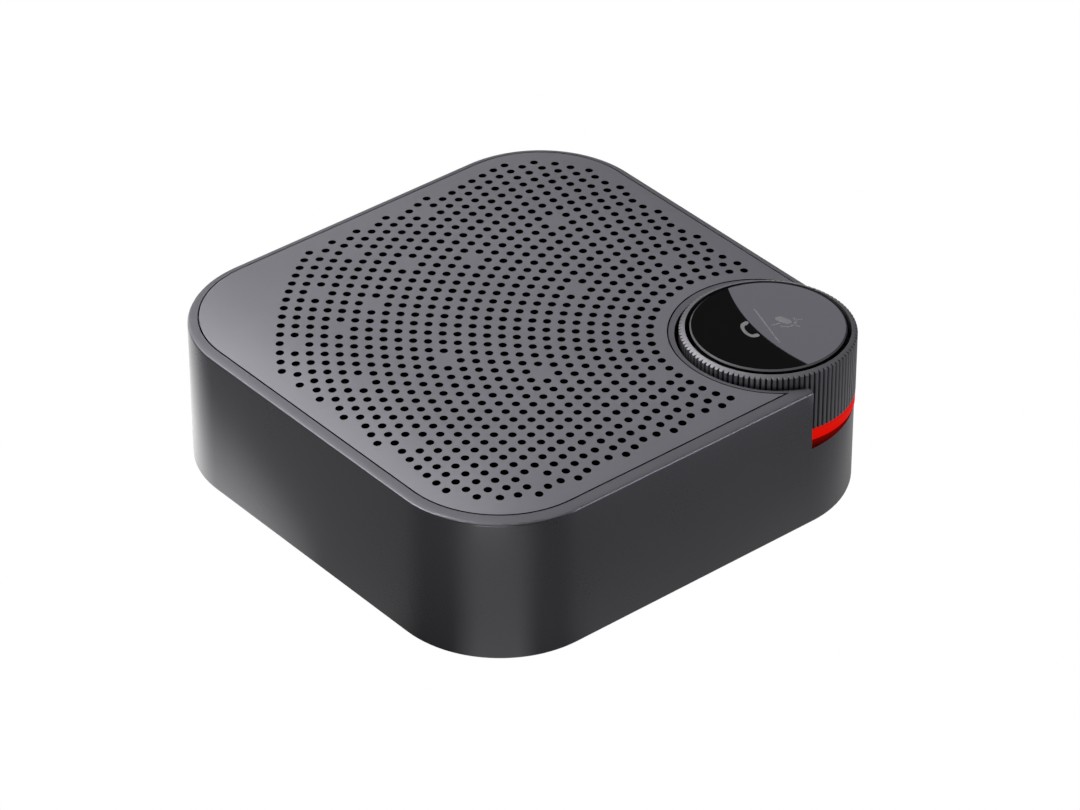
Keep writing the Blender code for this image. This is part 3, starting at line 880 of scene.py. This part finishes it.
def ring_slice():
    bm = bmesh.new()
    width = 2 * math.pi / TEETH
    columns = []
    for share, depth in TOOTH_COLUMNS:
        turn = width * share
        columns.append([bm.verts.new((r * math.cos(turn), r * math.sin(turn), z))
                        for r, z in ring_profile(RING_R - GROOVE_DEPTH * depth)])
    for column, after in zip(columns, columns[1:]):
        join_rows(bm, column, after)
    return bm


# %% Geometry Nodes that repeat a piece about an axis
def make_repeat_tree():
    tree, given, result = geometry_tree(
        "repeat_around", ("Count", "NodeSocketInt", 12), ("Weld", "NodeSocketFloat", 0.001))
    line = add(tree, "GeometryNodeMeshLine", {"Count": given.outputs["Count"], "Offset": (0, 0, 0)})
    number = add(tree, "GeometryNodeInputIndex")
    part = add(tree, "ShaderNodeMath", {0: 2 * math.pi, 1: given.outputs["Count"]}, operation="DIVIDE")
    angle = add(tree, "ShaderNodeMath", {0: number.outputs["Index"], 1: part.outputs[0]},
                operation="MULTIPLY")
    turn = add(tree, "ShaderNodeCombineXYZ", {"Z": angle.outputs[0]})
    placed = add(tree, "GeometryNodeInstanceOnPoints",
                 {"Points": line.outputs["Mesh"], "Instance": given.outputs["Geometry"],
                  "Rotation": turn.outputs["Vector"]})
    plain = add(tree, "GeometryNodeRealizeInstances", {"Geometry": placed.outputs["Instances"]})
    welded = add(tree, "GeometryNodeMergeByDistance",
                 {"Geometry": plain.outputs["Geometry"], "Distance": given.outputs["Weld"]})
    return end_tree(tree, given, result, welded.outputs["Geometry"])


REPEAT = make_repeat_tree()


def outward(mesh):
    """Turns a closed mesh's faces to point out."""
    bm = bmesh.new()
    bm.from_mesh(mesh)
    bmesh.ops.recalc_face_normals(bm, faces=bm.faces)
    bm.to_mesh(mesh)
    bm.free()
    return mesh


def make_volume_ring():
    mesh = run_nodes(ring_slice(), REPEAT, {"Count": TEETH, "Weld": 0.001, "Finish": ring_anodised})
    mesh.transform(Matrix.Translation((DIAL.x, DIAL.y, 0)))
    mesh.materials.append(ring_top_painted_light)
    mesh.materials.append(groove_painted_shade)
    groove_floor = RING_R - 0.5 * GROOVE_DEPTH
    for face in mesh.polygons:
        reach = reach_at(face.center.x, face.center.y)
        # Upward faces take the ring's painted light.
        if face.normal.z > FACES_UP and reach > BORE_R:
            face.material_index = 1
        # Upright faces inside the grooves take the painted shade.
        elif BORE_R + 0.4 < reach < groove_floor and abs(face.normal.z) < 0.5:
            face.material_index = 2
    finished("knurled_ring", outward(mesh), "volume_ring", "ring_metal", ["volume_ring"], sharp=28)


make_volume_ring()

# %% [markdown]
# ## The glass and its printing
# The cap is a disc of glass, black behind, with a ground bevel. Its two symbols and the line between them
# are printed on top, so they are thin slabs of their own. A stroke is a path with a width at each point; a
# chain of discs joined by a hull would do, but offsetting the path to both sides needs fewer faces.

# %% Glass
glass_black = grained("glass_black", *shades((0.0045, 0.0045, 0.005), 0.03), rough=(0.003, 0.008),
                      grain_mm=6.0, patch_mm=14.0, bump_mm=0.0)
ground_edge = grained("ground_edge", *shades((0.13, 0.13, 0.14), 0.05), rough=(0.45, 0.55), bump_mm=0.001)


def make_glass():
    top, low, bevel, under = glass_high.z, glass_low.z, 0.3, 0.15
    edge = softened([(GLASS_R - bevel, top), (GLASS_R, top - bevel), (GLASS_R, low + under),
                     (GLASS_R - under, low)], 0.06, closed=False)
    inner = 8
    profile = [(0, top), (inner, top), *edge, (inner, low), (0, low)]
    glass = finished("cap_glass", turned(profile, 192), "call_mute_cap", "black_glass", ["touch_glass"],
                     [glass_black, ground_edge], sharp=20)
    for face in glass.data.polygons:
        reach = reach_at(face.center.x / MM, face.center.y / MM)
        if reach > GLASS_R - bevel - 0.05 and 0.05 < face.normal.z < 0.95:
            face.material_index = 1


make_glass()

# %% Strokes and symbols
# The print is grey, and it also gets a faint white emission: a painted glow.
icon_grey_painted_glow = grained("icon_grey_painted_glow", *shades((0.19, 0.19, 0.2), 0.04), rough=(0.5, 0.6), Specular_IOR_Level=0.2,
                    Emission_Color=(1, 1, 1, 1), Emission_Strength=0.08)
PRINT_T = 0.02
FINE_LINE = 0.42


def smooth_path(points, steps=8):
    """Catmull-Rom curve through points of any dimension."""
    spots = [Vector(p) for p in points]
    spots = [spots[0] * 2 - spots[1], *spots, spots[-1] * 2 - spots[-2]]
    made = []
    for a, b, c, d in zip(spots, spots[1:], spots[2:], spots[3:]):
        for k in range(steps):
            t = k / steps
            made.append(0.5 * (2 * b + (c - a) * t + (2 * a - 5 * b + 4 * c - d) * t * t
                               + (3 * b - a - 3 * c + d) * t ** 3))
    return made + [spots[-2]]


def stroke(bm, path, cap_steps=8):
    """Adds a flat slab along (x, y, width) points, with round ends, from z 0 up to the print's thickness."""
    spots = [Vector((p[0], p[1])) for p in path]
    left, right = [], []
    for i, spot in enumerate(spots):
        along = (spots[min(i + 1, len(spots) - 1)] - spots[max(i - 1, 0)]).normalized()
        across = Vector((-along.y, along.x)) * path[i][2] / 2
        left.append(spot + across)
        right.append(spot - across)

    def cap(centre, radius, start):
        turns = [start + math.pi * k / cap_steps for k in range(1, cap_steps)]
        return [centre + Vector((math.cos(t), math.sin(t))) * radius for t in turns]

    first = (spots[1] - spots[0]).normalized()
    final = (spots[-1] - spots[-2]).normalized()
    end = cap(spots[-1], path[-1][2] / 2, math.atan2(final.y, final.x) - math.pi / 2)
    begin = cap(spots[0], path[0][2] / 2, math.atan2(first.y, first.x) + math.pi / 2)
    outline = right + end + left[::-1] + begin
    low = [bm.verts.new((p.x, p.y, 0)) for p in outline]
    high = [bm.verts.new((p.x, p.y, PRINT_T)) for p in outline]
    bm.faces.new(low[::-1])
    bm.faces.new(high)
    join_rows(bm, low, high)


def arc(radius, start, end, width, centre=(0.0, 0.0), steps=16):
    """Points for a stroke along a circle, between two angles in degrees."""
    turns = [math.radians(start + (end - start) * i / steps) for i in range(steps + 1)]
    return [(centre[0] + radius * math.cos(t), centre[1] + radius * math.sin(t), width) for t in turns]


def handset(bm):
    stroke(bm, smooth_path([(-2.75, 3.62, 1.0), (-3.15, 3.5, 1.12), (-3.8, 3.42, 0.95), (-4.6, 2.6, 0.72),
                            (-5.12, 1.3, 0.7), (-5.2, 0.0, 0.76), (-4.85, -0.8, 1.0), (-4.15, -1.08, 1.2)]))


def crossed_microphone(bm):
    """A capsule in a cradle on a stem, with a bar to either side that seems to pass behind it."""
    stroke(bm, [(3.37, 0.3, 1.9), (3.84, -1.5, 1.75)])
    stroke(bm, arc(1.95, 200, 358, FINE_LINE, (3.72, -1.2)))
    stem, left_bar, right_bar = (4.22, -3.15, 4.65, -4.3), (0.76, -0.4, 2.3, -0.95), (5.3, -2.05, 6.6, -2.55)
    for x0, y0, x1, y1 in (stem, left_bar, right_bar):
        stroke(bm, [(x0, y0, FINE_LINE), (x1, y1, FINE_LINE)])


def divider(bm):
    stroke(bm, [(1.75, 6.1, 0.34), (-2.35, -5.9, 0.34)])


def make_printing():
    for name, draw in (("handset_symbol", handset), ("mute_symbol", crossed_microphone),
                       ("symbol_divider", divider)):
        bm = bmesh.new()
        draw(bm)
        bmesh.ops.recalc_face_normals(bm, faces=bm.faces)
        bmesh.ops.translate(bm, verts=bm.verts, vec=(DIAL.x, DIAL.y, glass_high.z + 0.005))
        finished(name, bm, "call_mute_cap", "black_glass", materials=[icon_grey_painted_glow])


make_printing()

# %% [markdown]
# ## Underside
# A flat moulded cover closes the bottom, on four screws and four rubber feet. The cover's outer edge has the
# small radius that a mould leaves, and a shallow step runs round it. Feet and screws are the same piece four
# times, so Geometry Nodes place them on four points.

# %% Base cover
base_plastic = grained("base_plastic", *shades((0.030, 0.030, 0.033), 0.08), rough=(0.5, 0.6), grain_mm=0.35,
                       bump_mm=0.02)
foot_rubber = grained("foot_rubber", *shades((0.016, 0.016, 0.017), 0.12), rough=(0.75, 0.9), grain_mm=0.25,
                      bump_mm=0.02)
screw_steel = grained("screw_steel", *shades((0.06, 0.06, 0.063), 0.15), rough=(0.32, 0.45), grain_mm=0.2,
                      bump_mm=0.004, Metallic=1.0)
FOOT_AT = (33.0, 42.0)
FOOT_RECESS_R = 6.9
SCREW_RECESS_R = 3.0
FOOT_SPOTS = [(FOOT_AT[0] * x, FOOT_AT[1] * y) for x in (-1, 1) for y in (-1, 1)]
SCREW_SPOTS = [(SCREW_AT * x, SCREW_AT * y) for x in (-1, 1) for y in (-1, 1)]


def make_base():
    inset = HALF - base_high.x
    low, high = base_low.z, base_high.z
    edge = [(inset + 0.4, low), (inset + 0.12, low + 0.12), (inset, low + 0.4), (inset, high)]
    solid = loft([square_loop(step, z) for step, z in edge])
    cuts = []
    for spot in SCREW_SPOTS:
        cuts.append(("DIFFERENCE", disc_tool(SCREW_RECESS_R, low - 1, low + 1.5, spot, 48)))
        cuts.append(("DIFFERENCE", disc_tool(BORE, low, high + 1, spot, 32)))
    for spot in FOOT_SPOTS:
        cuts.append(("DIFFERENCE", disc_tool(FOOT_RECESS_R, low - 1, low + 1.0, spot, 64)))
    finished("moulded_base", carved(solid, *cuts), "housing", "base_finish", ["base_cover"], [base_plastic])


make_base()


# %% Geometry Nodes that place a piece on points
def make_placing_tree():
    tree, given, result = geometry_tree("placed_on_points", ("Piece", "NodeSocketObject", None))
    piece = add(tree, "GeometryNodeObjectInfo", {"Object": given.outputs["Piece"]})
    placed = add(tree, "GeometryNodeInstanceOnPoints",
                 {"Points": given.outputs["Geometry"], "Instance": piece.outputs["Geometry"]})
    plain = add(tree, "GeometryNodeRealizeInstances", {"Geometry": placed.outputs["Instances"]})
    return end_tree(tree, given, result, plain.outputs["Geometry"])


PLACE = make_placing_tree()


def placed(name, bm, spots, slot, replaced, finish):
    """Repeats a drawn piece on points of the housing, as one object."""
    piece = scratch(bm)
    points = bmesh.new()
    for spot in spots:
        points.verts.new((*spot, 0) if len(spot) == 2 else spot)
    mesh = run_nodes(points, PLACE, {"Piece": piece, "Finish": finish})
    bpy.data.objects.remove(piece)
    finished(name, mesh, "housing", slot, replaced)


# %% Feet and screws
def foot_shape():
    profile = softened([(0, 1.7), (6.5, 1.7), (6.5, 0.0), (0, 0.0)], [0, 0.1, 0.5, 0], closed=False)
    groove = [(5.0, 0.0), (4.75, 0.18), (4.5, 0.0)]
    return turned(profile[:-1] + groove + [(0, 0.0)], 64, (0, 0))


def screw_shape():
    low, top = base_low.z + 0.3, base_low.z + 1.2
    body = turned(softened([(0, 12.0), (1.2, 11.4), (1.2, top), (2.6, top), (2.6, low), (0, low)],
                           [0, 0.2, 0, 0.05, 0.35, 0], closed=False), 32, (0, 0))
    arm, width, deep = 1.45, 0.28, 0.75
    return carved(body, ("DIFFERENCE", block((-arm, -width, low - 1), (arm, width, low + deep))),
                  ("DIFFERENCE", block((-width, -arm, low - 1), (width, arm, low + deep))))


corner_names = ["front_left", "front_right", "rear_left", "rear_right"]
placed("rubber_feet", foot_shape(), FOOT_SPOTS, "foot_rubber",
       ["foot_" + corner for corner in corner_names], foot_rubber)
placed("base_screws", screw_shape(), SCREW_SPOTS, "dark_steel",
       ["base_screw_" + corner for corner in corner_names], screw_steel)

# %% [markdown]
# ## Rear panel
# The rear wall holds a charging socket, a status light and two buttons. The socket is a thin steel shell
# with a tongue that carries rows of gilt contacts. Each button is a round-ended key with a softened face
# and a symbol moulded into it: a broken ring with a bar for power, and a dot with two waves for pairing.

# %% Socket shell and tongue
socket_steel = grained("socket_steel", *shades((0.55, 0.55, 0.56), 0.05), rough=(0.2, 0.32), grain_mm=0.4,
                       bump_mm=0.003, Metallic=1.0)
gilt = grained("gilt_contacts", *shades((0.72, 0.5, 0.2), 0.05), rough=(0.2, 0.3), Metallic=1.0)
tongue_plastic = grained("tongue_plastic", *shades((0.012, 0.012, 0.012)), rough=(0.4, 0.5))
socket_low, socket_high = box_mm("charging_socket")
tongue_low, tongue_high = box_mm("socket_tongue")


def make_socket():
    width, tall = socket_high.x - socket_low.x, socket_high.z - socket_low.z
    back, front, wall = socket_low.y, socket_high.y, 0.32
    lip_y = front - 0.12
    outer = pill_prism(0, PORT_Z, width, tall, back, lip_y)
    lip = pill_prism(0, PORT_Z, width, tall, lip_y, front, high_inset=0.1)
    mouth = pill_prism(0, PORT_Z, width - 2 * wall, tall - 2 * wall, back + 1.2, front + 1)
    flare = pill_prism(0, PORT_Z, width - 0.4, tall - 0.4, lip_y, front + 0.5,
                       low_inset=0.12, high_inset=-0.1)
    shell = carved(outer, ("UNION", lip), ("DIFFERENCE", mouth), ("DIFFERENCE", flare))
    finished("socket_shell", shell, "housing", "bright_steel", ["charging_socket"], [socket_steel])

    tongue = block(tongue_low, tongue_high)
    bmesh.ops.bevel(tongue, geom=tongue.edges[:], offset=0.12, segments=2, affect="EDGES")
    finished("contact_tongue", tongue, "housing", "black_plastic", ["socket_tongue"], [tongue_plastic])
    contact = block((-0.12, -1.4, -0.01), (0.12, 1.4, 0.02))
    spots = [((i - 5.5) * 0.5, tongue_high.y - 1.7, z) for i in range(12)
             for z in (tongue_low.z - 0.015, tongue_high.z)]
    placed("socket_contacts", contact, spots, "copper", [], gilt)


make_socket()


# %% Buttons and their symbols
key_plastic = grained("key_plastic", *shades((0.022, 0.022, 0.024), 0.06), rough=(0.42, 0.5), grain_mm=0.2,
                      bump_mm=0.005)
rear_symbol = grained("rear_symbol", *shades((0.28, 0.28, 0.29), 0.05), rough=(0.5, 0.6))


def power_symbol(bm):
    stroke(bm, arc(0.85, -230, 50, 0.26))
    stroke(bm, [(0, 0.25, 0.26), (0, 1.1, 0.26)])


def pairing_symbol(bm):
    stroke(bm, [(-0.95, -0.02, 0.5), (-0.95, 0.02, 0.5)])
    stroke(bm, arc(0.95, -48, 48, 0.24, (-0.95, 0)))
    stroke(bm, arc(1.75, -42, 42, 0.24, (-0.95, 0)))


def make_button(name, x, draw):
    node = name + "_button"
    low, high = box_mm(node)
    back = HALF - WALL_T - 1.0
    width, tall, crown_t, stem_half = 8.0, 4.0, 0.3, 0.8
    face = pill_prism(x, PORT_Z, width, tall, back, high.y - crown_t)
    crown = pill_prism(x, PORT_Z, width, tall, high.y - crown_t, high.y, high_inset=crown_t)
    flange = block((x - 5, back - 0.4, PORT_Z - 1.7), (x + 5, back + 0.6, PORT_Z + 2.9))
    stem = block((x - stem_half, low.y, PORT_Z - stem_half), (x + stem_half, back + 0.1, PORT_Z + stem_half))
    key = carved(face, ("UNION", crown), ("UNION", flange), ("UNION", stem))
    finished(name + "_key_cap", key, name + "_key", "button_plastic", [node], [key_plastic])
    bm = bmesh.new()
    draw(bm)
    bmesh.ops.recalc_face_normals(bm, faces=bm.faces)
    upright = Matrix.Translation((x, high.y + 0.004, PORT_Z)) @ Matrix.Rotation(math.pi, 4, "Z")
    bm.transform(upright @ Matrix.Rotation(math.pi / 2, 4, "X"))
    finished(name + "_symbol", bm, name + "_key", "button_plastic", materials=[rear_symbol])


for button, symbol in (("power", power_symbol), ("pairing", pairing_symbol)):
    make_button(button, BUTTONS[button], symbol)

# %% [markdown]
# ## Finishes of the pieces inside
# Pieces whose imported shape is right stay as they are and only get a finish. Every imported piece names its
# finish, so one list of makers gives each of them colour, grain and gloss of its own.

# %% Inner finishes
def insulation(name, colour):
    return grained(name, *shades(colour, 0.08), rough=(0.4, 0.5), grain_mm=0.6, bump_mm=0.01)


WAVE_SPAN = 3.2


def waves(tree, width_mm, direction, distortion=0.0):
    """Bands of a given width across one axis."""
    where = add(tree, "ShaderNodeTexCoord").outputs["Object"]
    wave = add(tree, "ShaderNodeTexWave",
               {"Vector": where, "Scale": 1 / (width_mm * MM * WAVE_SPAN), "Distortion": distortion},
               bands_direction=direction)
    return wave.outputs["Fac"]


def laid_in_bands(name, dark, light, band_mm, rough, **shader):
    """Colour in fine level bands, as on a wound coil or a corrugated cloth."""
    material = grained(name, dark, light, rough, grain_mm=band_mm, bump_mm=0.02, **shader)
    tree = material.node_tree
    tint = colour_between(tree, waves(tree, band_mm, "Z", 0.4), (*dark, 1), (*light, 1))
    tree.links.new(tint, tree.nodes["Principled BSDF"].inputs["Base Color"])
    return material


def woven(name, dark, light, thread_mm):
    """Two crossed sets of threads, for the acoustic cloth."""
    material = grained(name, dark, light, (0.85, 0.95), grain_mm=thread_mm)
    tree = material.node_tree
    warp, weft = waves(tree, thread_mm, "X"), waves(tree, thread_mm, "Y")
    cross = add(tree, "ShaderNodeMath", {0: warp, 1: weft}, operation="MAXIMUM")
    bump = add(tree, "ShaderNodeBump", {"Height": cross.outputs[0], "Distance": 0.05 * MM, "Strength": 0.8})
    tree.links.new(bump.outputs["Normal"], tree.nodes["Principled BSDF"].inputs["Normal"])
    return material


copper_pair = [(0.5, 0.2, 0.09), (0.72, 0.34, 0.17)]
INNER_FINISHES = {
    "acoustic_cloth": woven("acoustic_cloth_weave", (0.0008, 0.0008, 0.0008), (0.002, 0.002, 0.002), 0.15),
    "battery_film": grained("battery_film_blue", *shades((0.04, 0.1, 0.3), 0.08), rough=(0.2, 0.3),
                            grain_mm=2, patch_mm=12, bump_mm=0.05),
    "black_insulation": insulation("black_insulation_vinyl", (0.015, 0.015, 0.015)),
    "red_insulation": insulation("red_insulation_vinyl", (0.45, 0.02, 0.02)),
    "black_plastic": grained("black_plastic_moulded", *shades((0.012, 0.012, 0.013), 0.12), rough=(0.5, 0.62),
                             bump_mm=0.01),
    "board_laminate": grained("solder_mask_green", *shades((0.01, 0.09, 0.045), 0.15), rough=(0.3, 0.42),
                              grain_mm=0.5, patch_mm=4, bump_mm=0.01),
    "bright_steel": socket_steel,
    "button_plastic": key_plastic,
    "chip_black": grained("chip_epoxy", *shades((0.02, 0.02, 0.022), 0.1), rough=(0.5, 0.65), grain_mm=0.1,
                          bump_mm=0.01),
    "clear_plastic": grained("milky_light_pipe", *shades((0.72, 0.72, 0.69), 0.03), rough=(0.15, 0.25),
                             Subsurface_Weight=0.3),
    "cone_paper": grained("cone_pulp", *shades((0.05, 0.05, 0.052), 0.2), rough=(0.8, 0.9), grain_mm=0.6,
                          bump_mm=0.04),
    "copper": laid_in_bands("wound_copper", *copper_pair, 0.2, (0.3, 0.4), Metallic=1.0),
    "dark_steel": screw_steel,
    "inner_rubber": grained("soft_rubber", *shades((0.012, 0.012, 0.012), 0.12), rough=(0.75, 0.9)),
    "magnet_ferrite": grained("bonded_ferrite", *shades((0.05, 0.045, 0.045), 0.15), rough=(0.6, 0.75),
                              grain_mm=0.2, bump_mm=0.02),
    "spider_cloth": laid_in_bands("dipped_cloth", (0.25, 0.15, 0.06), (0.36, 0.22, 0.09), 0.3, (0.8, 0.9)),
    "white_acetal": grained("natural_acetal", *shades((0.7, 0.7, 0.67), 0.03), rough=(0.35, 0.45)),
}

dressed = 0
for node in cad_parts.values():
    if node.hide_render:
        continue
    for place in node.material_slots:
        place.material = INNER_FINISHES[place.material.name.split(".")[0]]
        dressed += 1
print("packed pieces given a finish:", dressed)

# %% [markdown]
# ## Studio
# A white floor and sky, and a few soft lights: three from above and behind for the plate, three upright
# strips for the walls, and a round card high up that the black glass mirrors. To the eye, floor and sky
# are even and white. To everything else the sky is dim, and the floor is brighter in some directions than
# in others. The walls mirror it, so its bands give the rounded front left corner its bright and dark
# stripes. They are laid out for the main viewing direction, and from the sides the same bands show as
# uneven light.

# %% The main viewing direction
MIDDLE = Vector((0, 0, 0.0175))
TURN, TILT, ROLL = -0.6907, 0.60669, -0.0029
DISTANCE = 1.0606
LENS, SENSOR = 173.1, 36.0
SHIFT = (0.01761, -0.01163)

# %% Floor and sky
def white_to_the_eye(tree, glow):
    """Emission of 1 for what the camera sees and a dimmer one for everything else."""
    path = add(tree, "ShaderNodeLightPath")
    level = add(tree, "ShaderNodeMapRange", {"Value": path.outputs["Is Camera Ray"], "To Min": glow})
    return level.outputs[0]


FLOOR_GLOW = ((-180, 2.0), (-172, 2.0), (-156, 0.30), (-135, 0.28), (-112, 0.06), (-85, 0.06),
              (-62, 0.64), (-22, 0.64), (-4, 0.14), (18, 0.14), (40, 0.34), (70, 0.34),
              (95, 0.55), (120, 0.7), (150, 1.0), (180, 2.0))
FLOOR_HUB = (CORNER_R - HALF + CORNER_R / 2 * math.sin(TURN), CORNER_R - HALF - CORNER_R / 2 * math.cos(TURN))
SKY_GLOW = 0.05


def floor_glow(tree):
    """How brightly the floor lights the object, by bearing from the front left corner.

    A wall mirrors the floor in front of it. A rounded corner mirrors it as a fan, which seems to spread
    from a hub half a corner radius inside, on the viewer's side. Bearings are in degrees about that hub, 0
    toward the front and -90 toward the left, so each stop becomes an upright band on the corner.
    """
    where = add(tree, "ShaderNodeTexCoord").outputs["Object"]
    hub = add(tree, "ShaderNodeVectorMath", {0: where, 1: (FLOOR_HUB[0] * MM, FLOOR_HUB[1] * MM, 0)},
              operation="SUBTRACT")
    axes = add(tree, "ShaderNodeSeparateXYZ", {"Vector": hub.outputs[0]})
    toward = add(tree, "ShaderNodeMath", {0: axes.outputs["Y"], 1: -1.0}, operation="MULTIPLY")
    bearing = add(tree, "ShaderNodeMath", {0: axes.outputs["X"], 1: toward.outputs[0]}, operation="ARCTAN2")
    share = add(tree, "ShaderNodeMapRange",
                {"Value": bearing.outputs[0], "From Min": -math.pi, "From Max": math.pi})
    ramp = add(tree, "ShaderNodeValToRGB", {"Fac": share.outputs[0]})
    stops = ramp.color_ramp.elements
    while len(stops) < len(FLOOR_GLOW):
        stops.new(1.0)
    for stop, (degrees, glow) in zip(stops, FLOOR_GLOW):
        stop.position = (degrees + 180) / 360
        stop.color = (glow, glow, glow, 1)
    return ramp.outputs["Color"]


def make_floor():
    bm = bmesh.new()
    bmesh.ops.create_grid(bm, x_segments=1, y_segments=1, size=4.0)
    mesh = mesh_from("studio_floor", bm)
    material = bpy.data.materials.new("white_floor")
    material.use_nodes = True
    tree = material.node_tree
    tree.nodes.clear()
    white = add(tree, "ShaderNodeEmission", {"Strength": white_to_the_eye(tree, floor_glow(tree))})
    clear = add(tree, "ShaderNodeBsdfTransparent")
    side = add(tree, "ShaderNodeNewGeometry").outputs["Backfacing"]
    one_sided = add(tree, "ShaderNodeMixShader", {0: side, 1: white.outputs[0], 2: clear.outputs[0]})
    add(tree, "ShaderNodeOutputMaterial", {"Surface": one_sided.outputs[0]})
    mesh.materials.append(material)
    linked("studio_floor", mesh)


def make_sky():
    world = bpy.data.worlds.new("studio")
    bpy.context.scene.world = world
    world.use_nodes = True
    tree = world.node_tree
    background = tree.nodes["Background"]
    background.inputs["Color"].default_value = (1, 1, 1, 1)
    tree.links.new(white_to_the_eye(tree, SKY_GLOW), background.inputs["Strength"])


make_floor()
make_sky()

# %% Lamps
def lamp(name, spot, size, power, shape="RECTANGLE", aim=MIDDLE, colour=(1, 1, 1)):
    """An area lamp that looks at the object; size is its width and height, or its diameter."""
    data = bpy.data.lights.new(name, "AREA")
    data.shape = shape
    data.size = size[0]
    if shape in ("RECTANGLE", "ELLIPSE"):
        data.size_y = size[1]
    data.energy = power
    data.color = colour
    obj = linked(name, data)
    obj.location = spot
    obj.rotation_euler = (Vector(aim) - Vector(spot)).to_track_quat("-Z", "Y").to_euler()
    obj.visible_camera = False
    return obj


STRIP = (0.14, 0.45)
lamp("rear_overhead", (0.0, 0.45, 0.6), (0.4, 0.4), 1.55)
lamp("left_overhead", (-0.25, 0.15, 0.32), (0.2, 0.2), 0.92)
lamp("rear_soft", (0.0, 1.03, 0.39), (0.45, 0.45), 0.8)
lamp("left_strip", (-0.86, -0.67, 0.094), STRIP, 2.1)
lamp("corner_strip", (-0.675, -0.865, 0.094), STRIP, 1.0)
lamp("right_strip", (0.58, -0.93, 0.094), STRIP, 2.8, colour=(0.97, 0.95, 1.08))

# %% [markdown]
# The glass is a mirror for whatever stands opposite the camera, so its bright half is a lamp of its own: a
# round one, level like the glass, far beyond the object. Where its edge falls on the glass follows from
# similar triangles. Seen from the camera's mirror image below the glass, a circle on the glass and the
# circle of the lamp lie on one cone.

# %% Camera
def make_camera():
    """Sets the camera up and returns the direction toward it."""
    back = Vector((math.sin(TURN) * math.cos(TILT), -math.cos(TURN) * math.cos(TILT), math.sin(TILT)))
    level = Vector((math.cos(TURN), math.sin(TURN), 0))
    upright = back.cross(level)
    right = level * math.cos(ROLL) + upright * math.sin(ROLL)
    up = upright * math.cos(ROLL) - level * math.sin(ROLL)
    data = bpy.data.cameras.new("camera")
    data.lens, data.sensor_width = LENS, SENSOR
    data.shift_x, data.shift_y = SHIFT
    data.clip_start, data.clip_end = 0.05, 20.0
    obj = linked("camera", data)
    place = Matrix((right, up, back)).transposed().to_4x4()
    place.translation = MIDDLE + back * DISTANCE
    obj.matrix_world = place
    bpy.context.scene.camera = obj
    return back


to_camera = make_camera()

# %% The card that the glass mirrors
CARD_Z = 1.2
CARD_GLOW = 1.8
CIRCLE_FROM_DIAL = Vector((0.0442, -0.0085, 0.0))
CIRCLE_R = 0.0478


def make_mirrored_card():
    """A level round lamp whose mirror image covers a circle in the plane of the glass."""
    glass = Vector((DIAL.x, DIAL.y, glass_high.z)) * MM
    eye = MIDDLE + to_camera * DISTANCE
    eye.z = 2 * glass.z - eye.z
    reach = (CARD_Z - eye.z) / (glass.z - eye.z)
    spot = eye + (glass + CIRCLE_FROM_DIAL - eye) * reach
    radius = CIRCLE_R * reach
    power = CARD_GLOW * math.pi * math.pi * radius ** 2
    return lamp("mirrored_card", spot, (2 * radius, 0), power, "DISK", aim=spot - Vector((0, 0, 1)),
                colour=(0.94, 0.92, 1.06))


card = make_mirrored_card()
print("card at", [round(c, 3) for c in card.location], "across", round(card.data.size, 3))
bpy.context.scene.view_settings.view_transform = "Standard"
